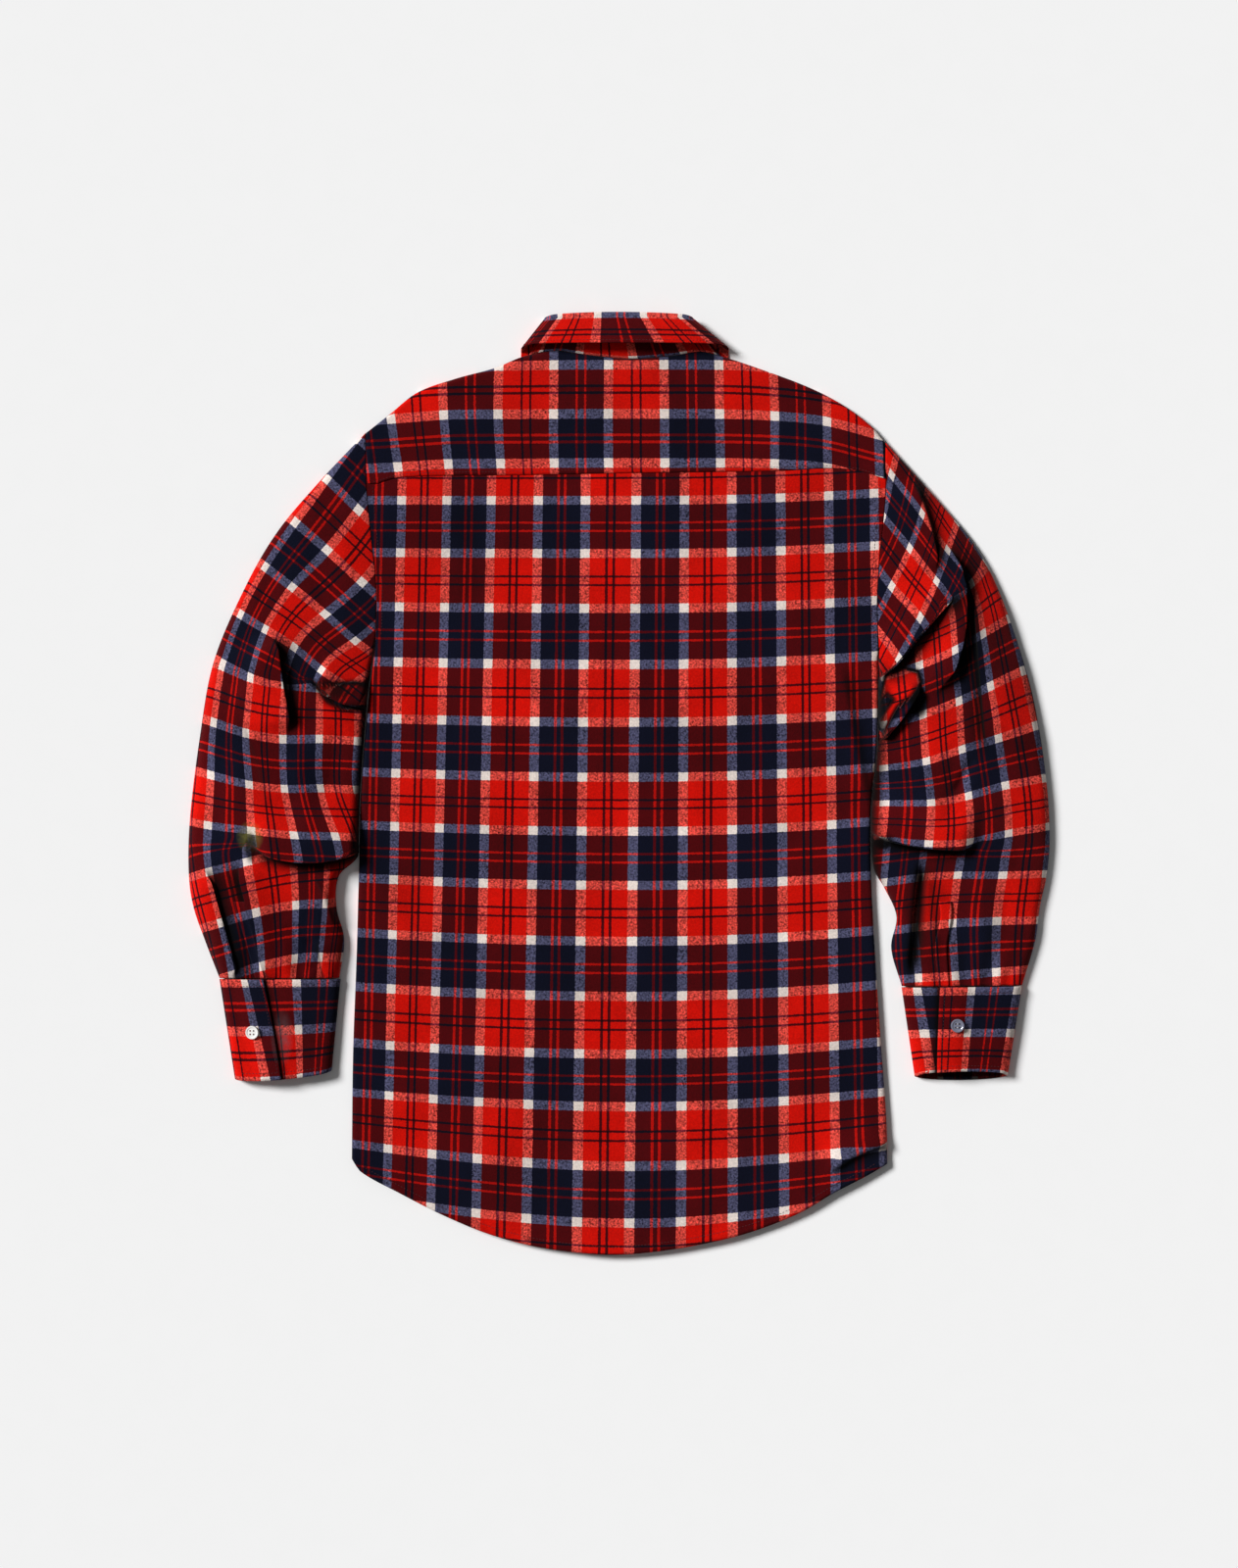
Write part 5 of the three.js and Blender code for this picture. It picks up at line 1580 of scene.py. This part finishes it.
class SHIRT_OT_collar(PieceOperator, Operator):
    """Make the collar's stand and leaf"""

    bl_idname = "shirt.collar"
    bl_label = "Collar"

    def execute(self, context):
        form = (steps(-STAND_END, STAND_END, CELLS.collar), steps(0, 1, CELLS.stand))
        stand = self.piece(context, "collar_stand", *form, stand_point, stand_plaid)
        form = (steps(-LEAF.ends, LEAF.ends, CELLS.collar), spans((0, 1, CELLS.roll), (1, 2, CELLS.leaf)))
        leaf = self.piece(context, "collar_leaf", *form, leaf_point, leaf_plaid, facing=-1)
        return {"FINISHED"}


class SHIRT_OT_buttons(Operator):
    """Finish the buttons"""

    bl_idname = "shirt.buttons"
    bl_label = "Buttons"

    def execute(self, context):
        settings = context.scene.shirt_buttons
        white = mottled("Pearl button", settings.colour, PEARL, ROUGHNESS.white_button)
        grey = mottled("Grey pearl button", settings.right_cuff_colour, PEARL, ROUGHNESS.grey_button)
        for name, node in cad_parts.items():
            if "button" in name:
                finish = grey if name == "cuff_button_right" else white
                for slot in node.material_slots:
                    slot.material = finish
        return {"FINISHED"}


class SHIRT_OT_threads(Operator):
    """Stitch the seams and edges, and sew the cuff buttons on"""

    bl_idname = "shirt.threads"
    bl_label = "Threads"

    def execute(self, context):
        along = steps(*ALONG_EDGE, READS.edge)
        down = steps(*ARMHOLE_RUN, READS.armhole)
        round_leaf = steps(LEAF_GAP - LEAF.ends, LEAF.ends - LEAF_GAP, READS.edge)
        rows = {
            "yoke": stitch_row(yoke_point, along, YOKE_STITCHES, -1),
            "hem": stitch_row(back_point, along, HEM_STITCHES, -1),
            "armhole": stitch_row(back_point, ARMHOLE_STITCHES, down, -1)
            + stitch_row(back_point, 1 - ARMHOLE_STITCHES, down, -1),
            "collar": stitch_row(leaf_point, round_leaf, LEAF_STITCHES, -1),
        }
        ends = [steps(*end, READS.cuff) for end in CUFF_ENDS]
        for side, away in AWAY.items():
            lines = [(q, v) for v in CUFF_STITCHES for q in ends]
            lines.append((CUFF_STITCHES[0], steps(*LAP_EDGE, READS.lap)))
            point = Cuff(side).point
            rows[f"cuff_{side}"] = [thread for q, v in lines for thread in stitch_row(point, q, v, -away)]
        seam = thread_finish("Seam thread", linear(70, 12, 22))
        for name, threads in rows.items():
            self.lay(f"{name}_stitching", threads, STITCH_LENGTH, seam)
        yarns = {"left": ("Navy thread", linear(40, 44, 66)), "right": ("Pale thread", linear(225, 222, 226))}
        for side, yarn in yarns.items():
            self.lay(f"button_thread_{side}", button_threads(side), 2 * BUTTON_HOLE, thread_finish(*yarn))
        return {"FINISHED"}

    def lay(self, name, threads, length, material):
        mesh = thread_mesh(name, threads, length)
        mesh.materials.append(material)
        piece = placed(name, mesh)
        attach(piece, "root")


LIGHT_FROM = (-0.82, 0.4, 0.66)
FLOOR_HALF = 4
LENS = 81.3
SENSOR = 36


class SHIRT_OT_stage(Operator):
    """Make the floor, the soft light and the camera"""

    bl_idname = "shirt.stage"
    bl_label = "Stage"

    def execute(self, context):
        settings = context.scene.shirt_stage
        ground = bmesh.new()
        bmesh.ops.create_grid(ground, x_segments=1, y_segments=1, size=FLOOR_HALF)
        floor = placed("Floor", finished("Floor", ground))
        floor.data.materials.append(mottled("Pale floor", settings.floor_colour, FLOOR, ROUGHNESS.floor))
        light = bpy.data.lights.new("Main light", "SUN")
        light.energy = settings.key_strength
        light.angle = settings.key_softness
        placed("Main light", light).rotation_euler = Vector(LIGHT_FROM).to_track_quat("Z", "Y").to_euler()
        world = bpy.data.worlds.new("Pale room")
        world.use_nodes = True
        background = world.node_tree.nodes["Background"]
        background.inputs[0].default_value = (1, 1, 1, 1)
        background.inputs[1].default_value = settings.sky
        context.scene.world = world
        lens = bpy.data.cameras.new("Camera")
        lens.lens = LENS
        lens.sensor_width = SENSOR
        eye = placed("Camera", lens)
        eye.location = (0, 0, settings.camera_height)
        context.scene.camera = eye
        context.scene.view_settings.view_transform = "Standard"
        return {"FINISHED"}


class SHIRT_PT_pieces(Panel):
    bl_idname = "SHIRT_PT_pieces"
    bl_label = "Flannel shirt"
    bl_space_type = "VIEW_3D"
    bl_region_type = "UI"
    bl_category = "Shirt"

    def draw(self, context):
        for settings in (context.scene.shirt_cloth, context.scene.shirt_buttons, context.scene.shirt_stage):
            box = self.layout.box()
            for name in settings.__annotations__:
                box.prop(settings, name)
        for operator in OPERATORS:
            self.layout.operator(operator.bl_idname)


OPERATORS = (
    SHIRT_OT_stage, SHIRT_OT_fronts, SHIRT_OT_back, SHIRT_OT_sleeves, SHIRT_OT_cuffs, SHIRT_OT_collar,
    SHIRT_OT_buttons, SHIRT_OT_threads,
)
SETTINGS = {
    "shirt_cloth": ShirtClothSettings,
    "shirt_buttons": ShirtButtonSettings,
    "shirt_stage": ShirtStageSettings,
}
CLASSES = (*SETTINGS.values(), *OPERATORS, SHIRT_PT_pieces)


def register():
    for cls in CLASSES:
        bpy.utils.register_class(cls)
    for name, cls in SETTINGS.items():
        setattr(bpy.types.Scene, name, PointerProperty(type=cls))


def unregister():
    for name in SETTINGS:
        delattr(bpy.types.Scene, name)
    for cls in reversed(CLASSES):
        bpy.utils.unregister_class(cls)


def main():
    register()
    for operator in OPERATORS:
        group, name = operator.bl_idname.split(".")
        getattr(getattr(bpy.ops, group), name)()


if __name__ == "__main__":
    main()
